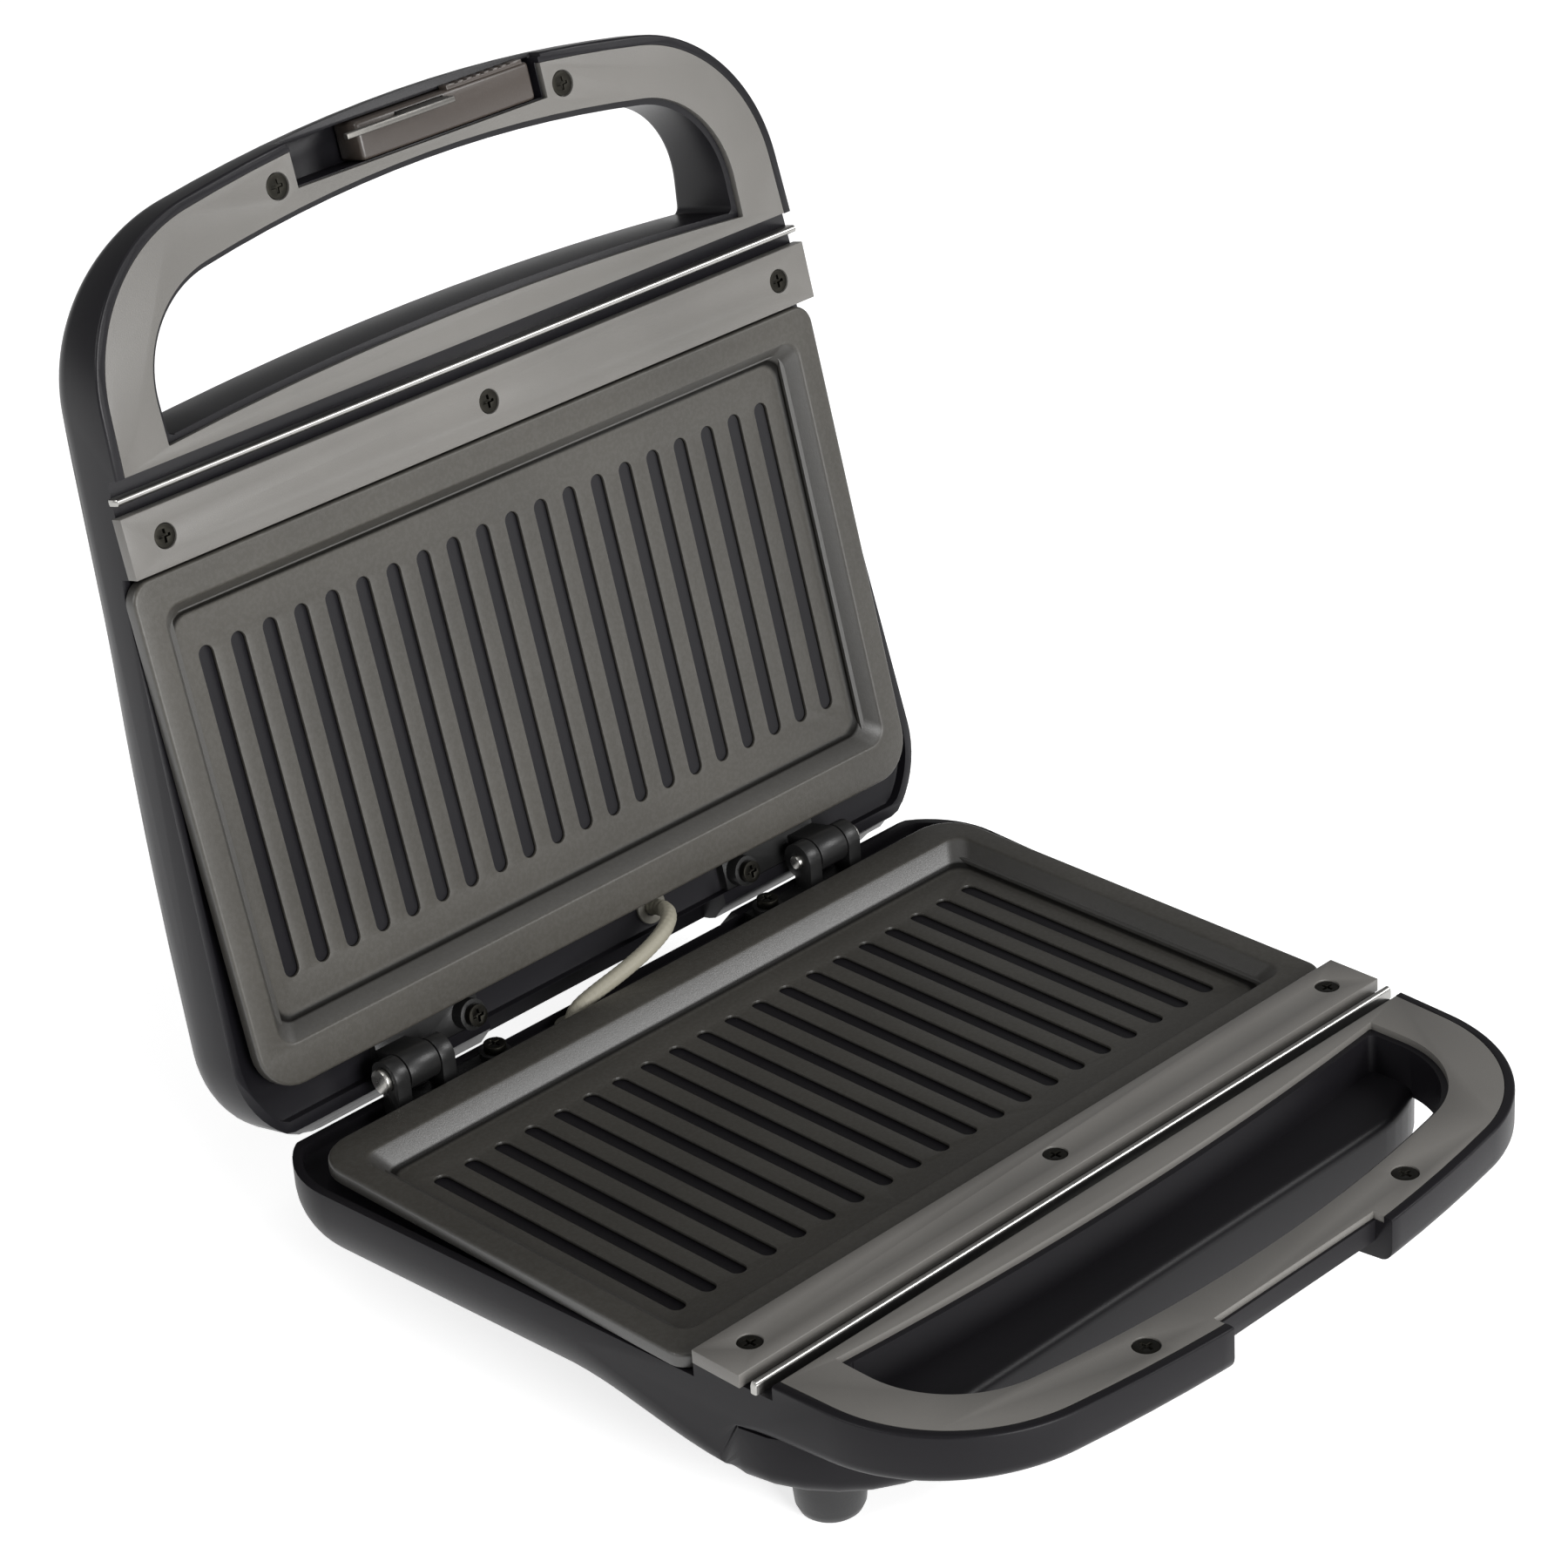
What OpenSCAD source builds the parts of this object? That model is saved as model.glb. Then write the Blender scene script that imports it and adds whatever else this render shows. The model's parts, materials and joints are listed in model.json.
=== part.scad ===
// Panini press with two ribbed plates, two carrying-handle loops and a sliding latch.
// Both halves are drawn the same way: u runs across, v runs forward from the hinge
// axis and w rises from the plane where the halves meet. base_half() and lid_half()
// put them in place. The lid stands open against its stop at rest.

/* [Grill plates] */
// Outer width of each plate
plate_w = 238; // [200:1:290]
// Outer depth of each plate, front to back
plate_l = 140; // [120:1:175]
// Corner radius of each plate
plate_r = 12; // [6:1:18]
// Number of grooves in each plate
groove_count = 20; // [12:1:20]
// Distance from groove to groove
groove_pitch = 10.35; // [8:0.05:10.5]
// Width of a groove at its top
groove_w = 4.8; // [3:0.1:6]
// Depth of a groove
groove_d = 3; // [2:0.1:4]
// Depth of the basin, from the rim to the rib tops
basin_d = 6.3; // [4:0.1:8]
// How far the plate rim lies below the meeting plane
rim_drop = 3.7; // [2:0.1:5]
// Width of the flat rim round the basin
rim_w = 7; // [5:0.5:10]

/* [Housings] */
// Wall of both housings
wall = 2.5; // [2:0.1:3.5]
// Gap between a plate and the housing wall beside it
side_gap = 3.5; // [2:0.5:6]
// How far the housing edge beside the plate lies below the meeting plane
edge_drop = 8; // [6.5:0.5:9]
// Depth of the base housing below the meeting plane
base_d = 33; // [32:1:42]
// Depth of the lid housing at its crown
lid_d = 38; // [35:1:46]
// How much shallower the lid is at the front edge of its plate
lid_fall = 8.5; // [6:0.5:9]
// Radius of the rear corners in plan
rear_r = 28; // [20:1:34]
// Radius that rounds the long edges of the housings
edge_r = 19; // [14:1:20]

/* [Handles] */
// Distance from the front of the plates to the front of the handles
handle_l = 93; // [80:0.5:110]
// How much narrower the handles are than the housings at the hinge
handle_taper = 18; // [8:1:30]
// Radius of the front corners in plan
front_r = 46.5; // [38:0.5:56]
// Radius of the slight bow along the front edge
bow_r = 450; // [300:10:900]
// Width of the handle ring in front and beside the finger gap
grip_w = 18.5; // [17:0.5:24]
// Thickness of the lower handle at its front
grip_t = 13; // [12:0.5:16]
// Thickness of the silver handle panels
panel_t = 2; // [1.5:0.1:2.4]
// Depth, front to back, of the bar that clamps each plate
bar_l = 16; // [14:0.5:18]
// Distance from centre to outer bar screw
bar_screw_x = 107; // [80:1:108]
// Distance from centre to handle screw
panel_screw_x = 48.3; // [47:0.1:54]

/* [Hinge] */
// Angle between the two halves when the lid rests open
open_angle = 103; // [95:1:105]
// Diameter of the hinge pins
pin_d = 4; // [3:0.1:5]
// Radial clearance of the lid tongues on the pins
pin_fit = 0.08; // [0.03:0.01:0.1]
// Distance from centre to the middle of each hinge
hinge_x = 76.25; // [70:0.25:85]
// Distance from centre to the hinge screws
hinge_screw_x = 51; // [48:0.5:56]

/* [Latch] */
// Width of the sliding latch
latch_w = 59; // [50:1:62]
// Travel of the latch
latch_travel = 21; // [16:1:22]
// Width of the notch in the lower handle
notch_w = 59; // [58:1:64]

/* [Feet] */
// Height of the rubber feet below the base housing
foot_h = 17; // [12:1:22]
// Diameter of a foot at the bottom
foot_d = 16; // [12:0.5:18]

/* [Hidden] */

$fn = 48;
eps = 0.01;      // overlap that lets cuts run through
big = 400;       // longer than anything it cuts
clear = 0.3;     // clearance between fixed pieces
fit = 0.15;      // clearance of a piece in its seat
rim_line = 2.6;  // width of housing rim that shows round a panel

// plan of a half, along v
plate_rear = 8;
plate_front = plate_rear + plate_l;
rear_v = -10;
front_v = plate_front + 0.5 + handle_l;
body_hw = plate_w / 2 + side_gap + wall;
handle_hw = body_hw - handle_taper / 2;
bar_rear = plate_front + 1.5;
bar_front = bar_rear + bar_l;
strip_v = bar_front + 4;
strip_w = 2;
panel_rear = strip_v + strip_w / 2 + 4.4;
gap_rear = panel_rear + 5.1;
gap_bow = 4.5;
gap_front = front_v - grip_w;
gap_hw = handle_hw - grip_w;
gap_r = front_r - grip_w;
body_front = gap_rear + gap_bow;
function bow_drop(u) = bow_r - sqrt(bow_r * bow_r - u * u);

// centre of a front corner, and the angle at which its arc meets the bowed front edge
corner_u = handle_hw - front_r;
corner_v = front_v - bow_r + sqrt(pow(bow_r - front_r, 2) - pow(corner_u, 2));
bow_turn = acos(corner_u / (bow_r - front_r));

// half width of a half at the front of its plate, where it is narrower than at the hinge
rear_corner_v = rear_v + rear_r;
function side_hw(v) =
    body_hw - (body_hw - handle_hw) * (v - rear_corner_v) / (corner_v - rear_corner_v);
front_hw = side_hw(plate_front);
seat_hw = min(plate_w / 2 - 4, front_hw - wall - 1);

// levels, as depth below the meeting plane
deck = 4;
deck_t = 2.5;
ledge = 11;
rib_level = rim_drop + basin_d;
plate_under = rib_level + 6;
heater_d = 6.5;
heater_level = plate_under + clear + heater_d / 2;
reflector_level = plate_under + heater_d + 1.2;
reflector_t = 0.8;
recess_step = 11;
relief_hw = 44;
relief_d = 19;
relief_v = -1.6;
ledge_rear = -1.5;
arm_t = grip_t + 4;
crown_v = 40;
crown_end = 12 + plate_front;

// the rear walls lean forward down to lean_d, so that they clear each other in the open press
lean_v = 2;
lean_d = 14.5;
// radii of the long rounded edges; an inner wall keeps the same centres
base_rear_r = 8;
base_front_r = 6;
arm_front_r = 5;
lid_rear_rv = 24;
lid_rear_rw = 16;

// step of the base tub below the finger gap
step_d = 13;
step_v = gap_rear + 19;
step_edge = 3;
tub_r = 40;
tub_hw = side_hw(step_v - tub_r);

// screws
screw_d = 3.4;
head_d = 6.6;
head_h = 2.2;
bar_screw_v = (bar_rear + bar_front) / 2;
panel_screw_v = gap_front + grip_w / 2 - bow_drop(panel_screw_x);

// hinge, around v = 0, w = 0
ear_t = 4.5;
ear_r = 5.2;
tongue_w = 10;
ear_gap = 0.5;
hinge_foot_t = 3;
hinge_screw_v = 3;
hinge_boss_d = 8.6;
pin_head_d = 7;
pin_head_t = 1.6;
ear_x = tongue_w / 2 + ear_gap + ear_t / 2;

// latch
latch_rest_x = 9.5;
recess_hw = latch_w / 2 + latch_travel / 2 + 2;
recess_rear = front_v - 13.8;
latch_front = front_v - 3.2;
hook_t = 1.6;
hook_v = front_v - 6;
hook_reach = 20;
hook_stem = 16;
hook_drop = 4.6;
hook_toe = 2.9;
low_rim = 4.3;
notch_v = hook_v - clear;
notch_t = 8;
slot_top = 1.8;

// base and lid in the world
mate_z = base_d + foot_h;
feet_places = [[94, gap_rear - 12], [72, 24]];
foot_top_d = 20;
foot_leg = 3;

function arc(cx, cy, rx, ry, a0, a1, n) =
    [for (i = [0:n]) let (a = a0 + (a1 - a0) * i / n) [cx + rx * cos(a), cy + ry * sin(a)]];
function mirrored(pts) = [for (i = [len(pts) - 1:-1:0]) [-pts[i][0], pts[i][1]]];

// depth of the lid below the meeting plane at distance v from the hinge
function lid_depth(v) =
    lid_d - (v > crown_v ? lid_fall * pow((v - crown_v) / (crown_end - crown_v), 2) : 0);

// how far back the open lid reaches behind the hinge axis
lid_back = max([for (v = [crown_v:2:front_v])
    -v * cos(open_angle) + lid_depth(v) * sin(open_angle)]);
hinge_y = (front_v - lid_back) / 2;

module base_half() { translate([0, hinge_y, mate_z]) mirror([0, 1, 0]) children(); }
module lid_half() { translate([0, hinge_y, mate_z]) rotate([180 - open_angle, 0, 0]) children(); }
module both_sides() { children(); mirror([1, 0, 0]) children(); }

// a flat shape in u and v, from depth d1 to the shallower depth d0
module slab(d0, d1) { translate([0, 0, -d1]) linear_extrude(d1 - d0) children(); }
// a profile of (v, w) points carried across the whole width
module across(w) { rotate([90, 0, 90]) translate([0, 0, -w / 2]) linear_extrude(w) children(); }
module box(u0, u1, v0, v1, d0, d1) { translate([u0, v0, -d1]) cube([u1 - u0, v1 - v0, d1 - d0]); }
module post(u, v, d0, d1, d) { translate([u, v, -d1]) cylinder(d = d, h = d1 - d0); }

// ---------------------------------------------------------------- outlines

// outline of a half: a rear and a front corner circle on each side, joined by tangents,
// and the slightly bowed front edge
module plan(inset) {
    rc = [body_hw - rear_r, rear_corner_v];
    fc = [corner_u, corner_v];
    step = fc - rc;
    tangent = atan2(step[1], step[0]) - acos((rear_r - front_r) / norm(step));
    side = concat(
        arc(rc[0], rc[1], rear_r - inset, rear_r - inset, -90, tangent, 14),
        arc(fc[0], fc[1], front_r - inset, front_r - inset, tangent, bow_turn, 20),
        arc(0, front_v - bow_r, bow_r - inset, bow_r - inset, bow_turn, 90, 6));
    polygon(concat(side, mirrored(side)));
}

// outline of the finger gap: bowed rear edge, round front corners, front edge along the bow
module gap_plan(grow) {
    r = gap_r + grow;
    bow = bow_r - grip_w + grow;
    side = concat(
        [for (i = [0:6]) let (u = (gap_hw + grow) * i / 6)
            [u, gap_rear - grow + gap_bow * (1 - pow(i / 6, 2))]],
        arc(corner_u, corner_v, r, r, 0, bow_turn, 16),
        arc(0, front_v - bow_r, bow, bow, bow_turn, 90, 6));
    polygon(concat(side, mirrored(side)));
}

// outline of the base tub in front, with its round corners; it is open to the rear
module tub_plan(inset) {
    r = tub_r - inset;
    side = concat([[big, rear_v - 1], [big, step_v - tub_r]],
        arc(tub_hw - tub_r, step_v - tub_r, r, r, 0, 90, 12));
    polygon(concat(side, mirrored(side)));
}

// side profile of the base, as (v, w) points, moved in by one wall where inset is the wall
function base_profile(i) = concat(
    [[lean_v + i * 1.3, 0], [rear_v + i, -lean_d]],
    arc(rear_v + base_rear_r, -(base_d - base_rear_r), base_rear_r - i, base_rear_r - i, 180, 270, 6),
    arc(step_v - base_front_r, -(base_d - base_front_r), base_front_r - i, base_front_r - i,
        270, 360, 6),
    [[step_v - i, -(step_d + step_edge + i)], [step_v - step_edge - i, -(step_d + i)],
     [body_front - i, -(step_d + i)], [body_front - i, 0]]);
function base_arm_profile(i) = concat(
    [[panel_rear, 0], [panel_rear, -(arm_t - i)]],
    arc(front_v - arm_front_r, -(grip_t - arm_front_r), arm_front_r - i, arm_front_r - i,
        270, 360, 6),
    [[front_v - i, 0]]);
function lid_profile(i) = concat(
    [[lean_v + i * 1.3, 0], [rear_v + i, -lean_d]],
    arc(rear_v + lid_rear_rv, -(lid_d - lid_rear_rw), lid_rear_rv - i, lid_rear_rw - i,
        180, 270, 8),
    [for (v = [crown_v:8:front_v - 8]) [v, -(lid_depth(v) - i)]],
    [[front_v - 3 - i, -(lid_depth(front_v - 3) - i)], [front_v - i, -(lid_depth(front_v) - 3.5)],
     [front_v - i, 0]]);

// section across a half that rounds its long edges
module cross_section(depth, i) {
    r = edge_r - i;
    c = body_hw - edge_r;
    side = concat(arc(c, -(depth - edge_r), r, r, -90, 0, 10), [[body_hw - i, 1]]);
    rotate([90, 0, 0]) translate([0, 0, -big]) linear_extrude(2 * big)
        polygon(concat(side, mirrored(side)));
}

// ---------------------------------------------------------------- housings

module relief(i) {
    box(-relief_hw - i, relief_hw + i, rear_v - 1, relief_v + i, -1, relief_d + i);
}

module base_outer() {
    intersection() {
        slab(0, base_d) plan(0);
        union() {
            intersection() {
                across(2 * body_hw) polygon(base_profile(0));
                cross_section(base_d, 0);
                slab(0, base_d) tub_plan(0);
            }
            across(2 * body_hw) polygon(base_arm_profile(0));
        }
    }
    both_sides() for (p = feet_places) post(p[0], p[1], base_d - wall, base_d + foot_leg, foot_top_d);
}

module lid_outer() {
    intersection() {
        slab(0, lid_d) plan(0);
        across(2 * body_hw) polygon(lid_profile(0));
        cross_section(lid_d, 0);
    }
}

// room inside a housing, under the ledge and under the deck; it reaches forward to v = front and
// keeps clear of the finger gap down to gap_d
module body_room(depth, front, gap_d) {
    difference() {
        intersection() {
            slab(ledge + deck_t, depth - wall) plan(wall);
            children();
            cross_section(depth, wall);
            box(-big, big, rear_v, front - wall, 0, depth);
        }
        relief(wall);
        slab(-1, gap_d) gap_plan(wall);
    }
    difference() {
        slab(deck + deck_t, ledge + deck_t + eps) plan(wall);
        box(-big, big, -big, plate_front + clear, 0, big);
        box(-big, big, body_front - wall, big, 0, big);
        slab(-1, big) gap_plan(wall);
    }
}
module well() {
    intersection() {
        slab(-1, ledge) plan(wall);
        box(-big, big, ledge_rear, plate_front + 1.2, -1, ledge);
    }
    box(-plate_w / 2 + rim_w, plate_w / 2 - rim_w, plate_rear + rim_w + 4,
        plate_front - rim_w - 3, -1, ledge + deck_t + eps);
}

// hollow of the handle ring, left solid round the latch down to depth solid_to
module arm_room(solid_to) {
    difference() {
        intersection() {
            slab(panel_t + wall, big) plan(wall);
            children();
        }
        slab(-1, big) gap_plan(wall);
        box(-big, big, 0, gap_rear + gap_bow + 1, -1, big);
        box(-recess_hw - 14, recess_hw + 4, gap_front - 6, big, -1, solid_to);
    }
}

// seats in the top of a housing for the bar, the strip and the panel, the edge beside the plate and
// the finger gap; what children() covers stays
module top_cuts() {
    box(-big, big, rear_v - 1, bar_rear - fit, -1, edge_drop);
    box(-big, big, bar_rear - fit - eps, panel_rear - fit, -1, deck);
    difference() {
        slab(-1, panel_t) plan(rim_line);
        box(-big, big, rear_v, panel_rear - 2 * fit, -1, big);
    }
    difference() {
        slab(-1, big) gap_plan(0);
        children();
    }
}

module screw_holes() {
    for (u = [-bar_screw_x, 0, bar_screw_x]) post(u, bar_screw_v, 0, deck + deck_t + 8, screw_d);
    for (u = [-panel_screw_x, panel_screw_x]) post(u, panel_screw_v, 0, panel_t + 7.5, screw_d);
}
module screw_posts() {
    for (u = [-bar_screw_x, 0, bar_screw_x]) post(u, bar_screw_v, deck + eps, deck + deck_t + 9, 8);
}
module hinge_screw_holes() {
    both_sides() post(hinge_screw_x, hinge_screw_v, 0, ledge + deck_t + 1, screw_d);
}

module base_shell() {
    color([0.13, 0.125, 0.13]) base_half() difference() {
        union() {
            difference() {
                base_outer();
                body_room(base_d, step_v, step_d + wall) intersection() {
                    across(2 * body_hw) polygon(base_profile(wall));
                    slab(0, base_d) tub_plan(wall);
                }
                arm_room(base_d) across(2 * body_hw) polygon(base_arm_profile(wall));
            }
            screw_posts();
        }
        well();
        top_cuts() slab(step_d, base_d) tub_plan(0);
        relief(0);
        screw_holes();
        hinge_screw_holes();
        // notch in the front of the handle, the hollow under its lip and the keeper slot
        box(-notch_w / 2, notch_w / 2, notch_v, big, -1, big);
        box(-notch_w / 2, notch_w / 2, front_v - 12, big, notch_t, big);
        box(-notch_w / 2 - hook_reach - 2, -notch_w / 2 + eps, notch_v, hook_v + hook_t + 0.4,
            slot_top, hook_drop + 0.5);
        // cord inlet in the rear wall
        translate([gland_u, rear_v + 1, -gland_d]) rotate([90, 0, 0])
            cylinder(d = inlet_d, h = 12, center = true);
        both_sides() for (p = feet_places)
            post(p[0], p[1], base_d - wall - 1, base_d + foot_leg + 1, screw_d);
        post(sleeve_base[0], sleeve_base[1], ledge - 1, ledge + deck_t + 2, bush_d);
    }
}

module lid_shell() {
    color([0.24, 0.24, 0.26]) lid_half() difference() {
        union() {
            difference() {
                lid_outer();
                body_room(lid_d, body_front, big)
                    across(2 * body_hw) polygon(lid_profile(wall));
                arm_room(recess_step + wall) across(2 * body_hw) polygon(lid_profile(wall));
            }
            screw_posts();
        }
        well();
        top_cuts();
        relief(0);
        screw_holes();
        hinge_screw_holes();
        // channel for the latch, and the low front rim that its hook passes over
        box(-recess_hw, recess_hw, recess_rear, latch_front + clear, -1, recess_step);
        box(-recess_hw - 1, recess_hw + 1, latch_front, big, -1, low_rim);
        for (u = [-lamp_x, lamp_x]) post(u, lamp_v, lid_d - wall - 1, lid_d + 1, lamp_d + 2 * fit);
        post(sleeve_lid[0], sleeve_lid[1], ledge - 1, ledge + deck_t + 2, bush_d);
    }
}

// ---------------------------------------------------------------- plates and heat

// trapezoid section of the basin, from the rim's inner edge down to the rib tops
module basin_cut() {
    slope = basin_d * 0.8;
    u0 = plate_w / 2 - rim_w - 0.5;
    v0 = plate_rear + rim_w + 4;
    v1 = plate_front - rim_w - 1.5;
    intersection() {
        across(big) polygon([[v0, -rim_drop + eps], [v0 + slope, -rib_level],
            [v1 - slope, -rib_level], [v1, -rim_drop + eps]]);
        rotate([90, 0, 0]) translate([0, 0, -big]) linear_extrude(big + 1)
            polygon([[-u0, -rim_drop + eps], [-u0 + slope, -rib_level],
                [u0 - slope, -rib_level], [u0, -rim_drop + eps]]);
    }
}

module groove(v0, v1) {
    top = groove_w / 2;
    bottom = groove_w / 4;
    rotate([-90, 0, 0]) translate([0, 0, v0]) linear_extrude(v1 - v0)
        polygon([[-top, 0], [top, 0], [bottom, groove_d], [-bottom, groove_d]]);
    for (v = [v0, v1]) translate([0, v, -groove_d])
        cylinder(r1 = bottom, r2 = top, h = groove_d, $fn = 24);
}

module grill_plate() {
    v0 = plate_rear + 25.3;
    v1 = plate_front - 23.2;
    rr = plate_r;
    outline = concat(
        arc(plate_w / 2 - rr, plate_rear + rr, rr, rr, -90, 0, 8),
        arc(plate_w / 2 - 6, plate_front - 6, 6, 6, 0, 90, 6));
    difference() {
        union() {
            slab(rim_drop, edge_drop - clear) polygon(concat(outline, mirrored(outline)));
            box(-seat_hw, seat_hw, plate_rear + rim_w + 2, plate_front - 5, rim_drop + 1, ledge);
            box(-plate_w / 2 + rim_w + 2, plate_w / 2 - rim_w - 2, plate_rear + rim_w + 6,
                plate_front - rim_w - 5, rim_drop + 1, plate_under);
            for (p = plate_post_places) post(p[0], p[1], plate_under - 1, reflector_level, 9);
        }
        basin_cut();
        for (i = [0:groove_count - 1])
            translate([(i - (groove_count - 1) / 2) * groove_pitch, 0, -rib_level])
                translate([0, 0, eps]) groove(v0, v1);
        for (p = plate_post_places) post(p[0], p[1], plate_under + 1, big, screw_d);
    }
}
plate_post_places = [for (u = [-1, 1], v = [0.2, 0.8])
    [u * (plate_w / 2 - 19), plate_rear + v * plate_l]];

// U-shaped tubular heater clipped under the plate, with its two cold ends to the rear
module heater() {
    v0 = plate_rear + 36;
    v1 = plate_front - 36;
    r = (v1 - v0) / 2;
    run = plate_w / 2 - 38;
    translate([0, 0, -heater_level]) {
        for (v = [v0, v1]) translate([-run, v, 0]) rotate([0, 90, 0])
            cylinder(d = heater_d, h = 2 * run - r);
        translate([run - r, (v0 + v1) / 2, 0]) rotate([0, 0, -90])
            rotate_extrude(angle = 180) translate([r, 0]) circle(d = heater_d);
        for (v = [v0, v1]) translate([-run - 8, v, 0]) rotate([0, 90, 0]) cylinder(d = 3, h = 9);
    }
}

// sheet-steel tray behind the heater; its floor has a hole where the thermostat sits
module reflector(with_hole) {
    u = plate_w / 2 - rim_w - 5;
    v0 = plate_rear + rim_w + 9;
    v1 = plate_front - rim_w - 8;
    difference() {
        box(-u, u, v0, v1, plate_under + 2, reflector_level + reflector_t);
        box(-u + reflector_t, u - reflector_t, v0 + reflector_t, v1 - reflector_t,
            plate_under, reflector_level);
        for (p = plate_post_places) post(p[0], p[1], 0, big, screw_d);
        if (with_hole) post(thermostat_u, plate_mid, 0, big, thermostat_d + 3);
    }
}
thermostat_u = -20;
thermostat_d = 16;
plate_mid = plate_rear + plate_l / 2;

module plate_screws() {
    for (p = plate_post_places) {
        post(p[0], p[1], plate_under + 2, reflector_level + reflector_t, screw_d - 2 * fit);
        post(p[0], p[1], reflector_level + reflector_t, reflector_level + reflector_t + 2, 6);
    }
}

module base_plate() { color([0.25, 0.24, 0.21]) base_half() grill_plate(); }
module lid_plate() { color([0.35, 0.34, 0.3]) lid_half() grill_plate(); }
module base_heater() { color([0.45, 0.44, 0.42]) base_half() heater(); }
module lid_heater() { color([0.45, 0.44, 0.42]) lid_half() heater(); }
module base_reflector() { color([0.75, 0.75, 0.74]) base_half() reflector(true); }
module lid_reflector() { color([0.75, 0.75, 0.74]) lid_half() reflector(false); }
module base_plate_screws() { color([0.6, 0.6, 0.6]) base_half() plate_screws(); }
module lid_plate_screws() { color([0.6, 0.6, 0.6]) lid_half() plate_screws(); }

module thermostat() {
    color([0.8, 0.78, 0.7]) base_half() {
        post(thermostat_u, plate_mid, plate_under, plate_under + 7, thermostat_d);
        post(thermostat_u, plate_mid, plate_under + 6, plate_under + 9, 9);
        box(thermostat_u - 7, thermostat_u - 4, plate_mid - 3, plate_mid + 3,
            plate_under + 6, plate_under + 11);
        box(thermostat_u + 4, thermostat_u + 7, plate_mid - 3, plate_mid + 3,
            plate_under + 6, plate_under + 11);
    }
}

fuse_d = 4;
module thermal_fuse() {
    level = reflector_level + reflector_t + fuse_d / 2;
    color([0.85, 0.85, 0.8]) base_half() translate([25, plate_mid, -level])
        rotate([0, 90, 0]) {
            cylinder(d = fuse_d, h = 12);
            translate([0, 0, -10]) cylinder(d = 1, h = 32);
        }
}

module terminal_block() {
    color([0.9, 0.88, 0.82]) base_half() difference() {
        box(52, 80, 5, 15, base_d - wall - 9.5, base_d - wall);
        for (u = [57, 66, 75]) {
            post(u, 10, base_d - wall - 10, base_d - wall - 2.5, 3);
            translate([u, 4, -(base_d - wall - 4)]) rotate([-90, 0, 0]) cylinder(d = 2.6, h = 12);
        }
    }
}

// ---------------------------------------------------------------- handles, bars, strips

module handle_panel() {
    difference() {
        slab(0, panel_t) plan(rim_line + fit);
        box(-big, big, rear_v, panel_rear, -1, big);
        slab(-1, big) gap_plan(1.8);
        for (u = [-panel_screw_x, panel_screw_x]) {
            post(u, panel_screw_v, -1, panel_t + 1, screw_d + 0.4);
            post(u, panel_screw_v, -1, 1.4, head_d + 0.6);
        }
        children();
    }
}

module base_panel() {
    color([0.58, 0.56, 0.54]) base_half() handle_panel()
        box(-notch_w / 2 - clear, notch_w / 2 + clear, notch_v - 0.8, big, -1, big);
}
module lid_panel() {
    color([0.6, 0.59, 0.57]) lid_half() handle_panel()
        box(-recess_hw - clear, recess_hw + clear, recess_rear - clear, big, -1, big);
}

module screw(u, v, d0, length) {
    difference() {
        union() {
            post(u, v, d0, d0 + head_h, head_d - 0.4);
            post(u, v, d0 + head_h - eps, d0 + length, screw_d - 2 * fit);
        }
        for (a = [0, 90]) translate([u, v, -d0]) rotate([0, 0, a]) cube([3.6, 0.8, 2.4], center = true);
    }
}

module panel_screws() {
    for (u = [-panel_screw_x, panel_screw_x]) difference() {
        union() {
            post(u, panel_screw_v, 0.3, 1.4, head_d);
            post(u, panel_screw_v, 1.4 - eps, panel_t + 7, screw_d - 2 * fit);
        }
        for (a = [0, 90]) translate([u, panel_screw_v, -0.3]) rotate([0, 0, a])
            cube([3.6, 0.8, 1.2], center = true);
    }
}
module base_panel_screws() { color([0.1, 0.1, 0.1]) base_half() panel_screws(); }
module lid_panel_screws() { color([0.1, 0.1, 0.1]) lid_half() panel_screws(); }

bar_hw = bar_screw_x + 11.5;
module clamp_bar() {
    difference() {
        slab(0.2, deck) {
            side = concat(arc(bar_hw - 2, bar_rear + 2, 2, 2, -90, 0, 4),
                arc(bar_hw - 2, bar_front - 2, 2, 2, 0, 90, 4));
            polygon(concat(side, mirrored(side)));
        }
        for (u = [-bar_screw_x, 0, bar_screw_x]) {
            post(u, bar_screw_v, -1, deck + 1, screw_d + 0.4);
            post(u, bar_screw_v, -1, 0.6 + head_h, head_d);
        }
    }
}
module bar_screws() {
    for (u = [-bar_screw_x, 0, bar_screw_x]) screw(u, bar_screw_v, 0.6, 12);
}
module base_bar() { color([0.58, 0.57, 0.54]) base_half() clamp_bar(); }
module lid_bar() { color([0.6, 0.59, 0.57]) lid_half() clamp_bar(); }
module base_bar_screws() { color([0.12, 0.12, 0.12]) base_half() bar_screws(); }
module lid_bar_screws() { color([0.12, 0.12, 0.12]) lid_half() bar_screws(); }

module trim_strip() {
    across(2 * bar_hw - 1) polygon(concat(
        [[strip_v - strip_w / 2, -deck]],
        [for (p = arc(strip_v, -1.6, strip_w / 2, 1, 180, 0, 6)) p],
        [[strip_v + strip_w / 2, -deck]]));
}
module base_trim_strip() { color([0.92, 0.92, 0.92]) base_half() trim_strip(); }
module lid_trim_strip() { color([0.92, 0.92, 0.92]) lid_half() trim_strip(); }

// ---------------------------------------------------------------- hinges

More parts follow.
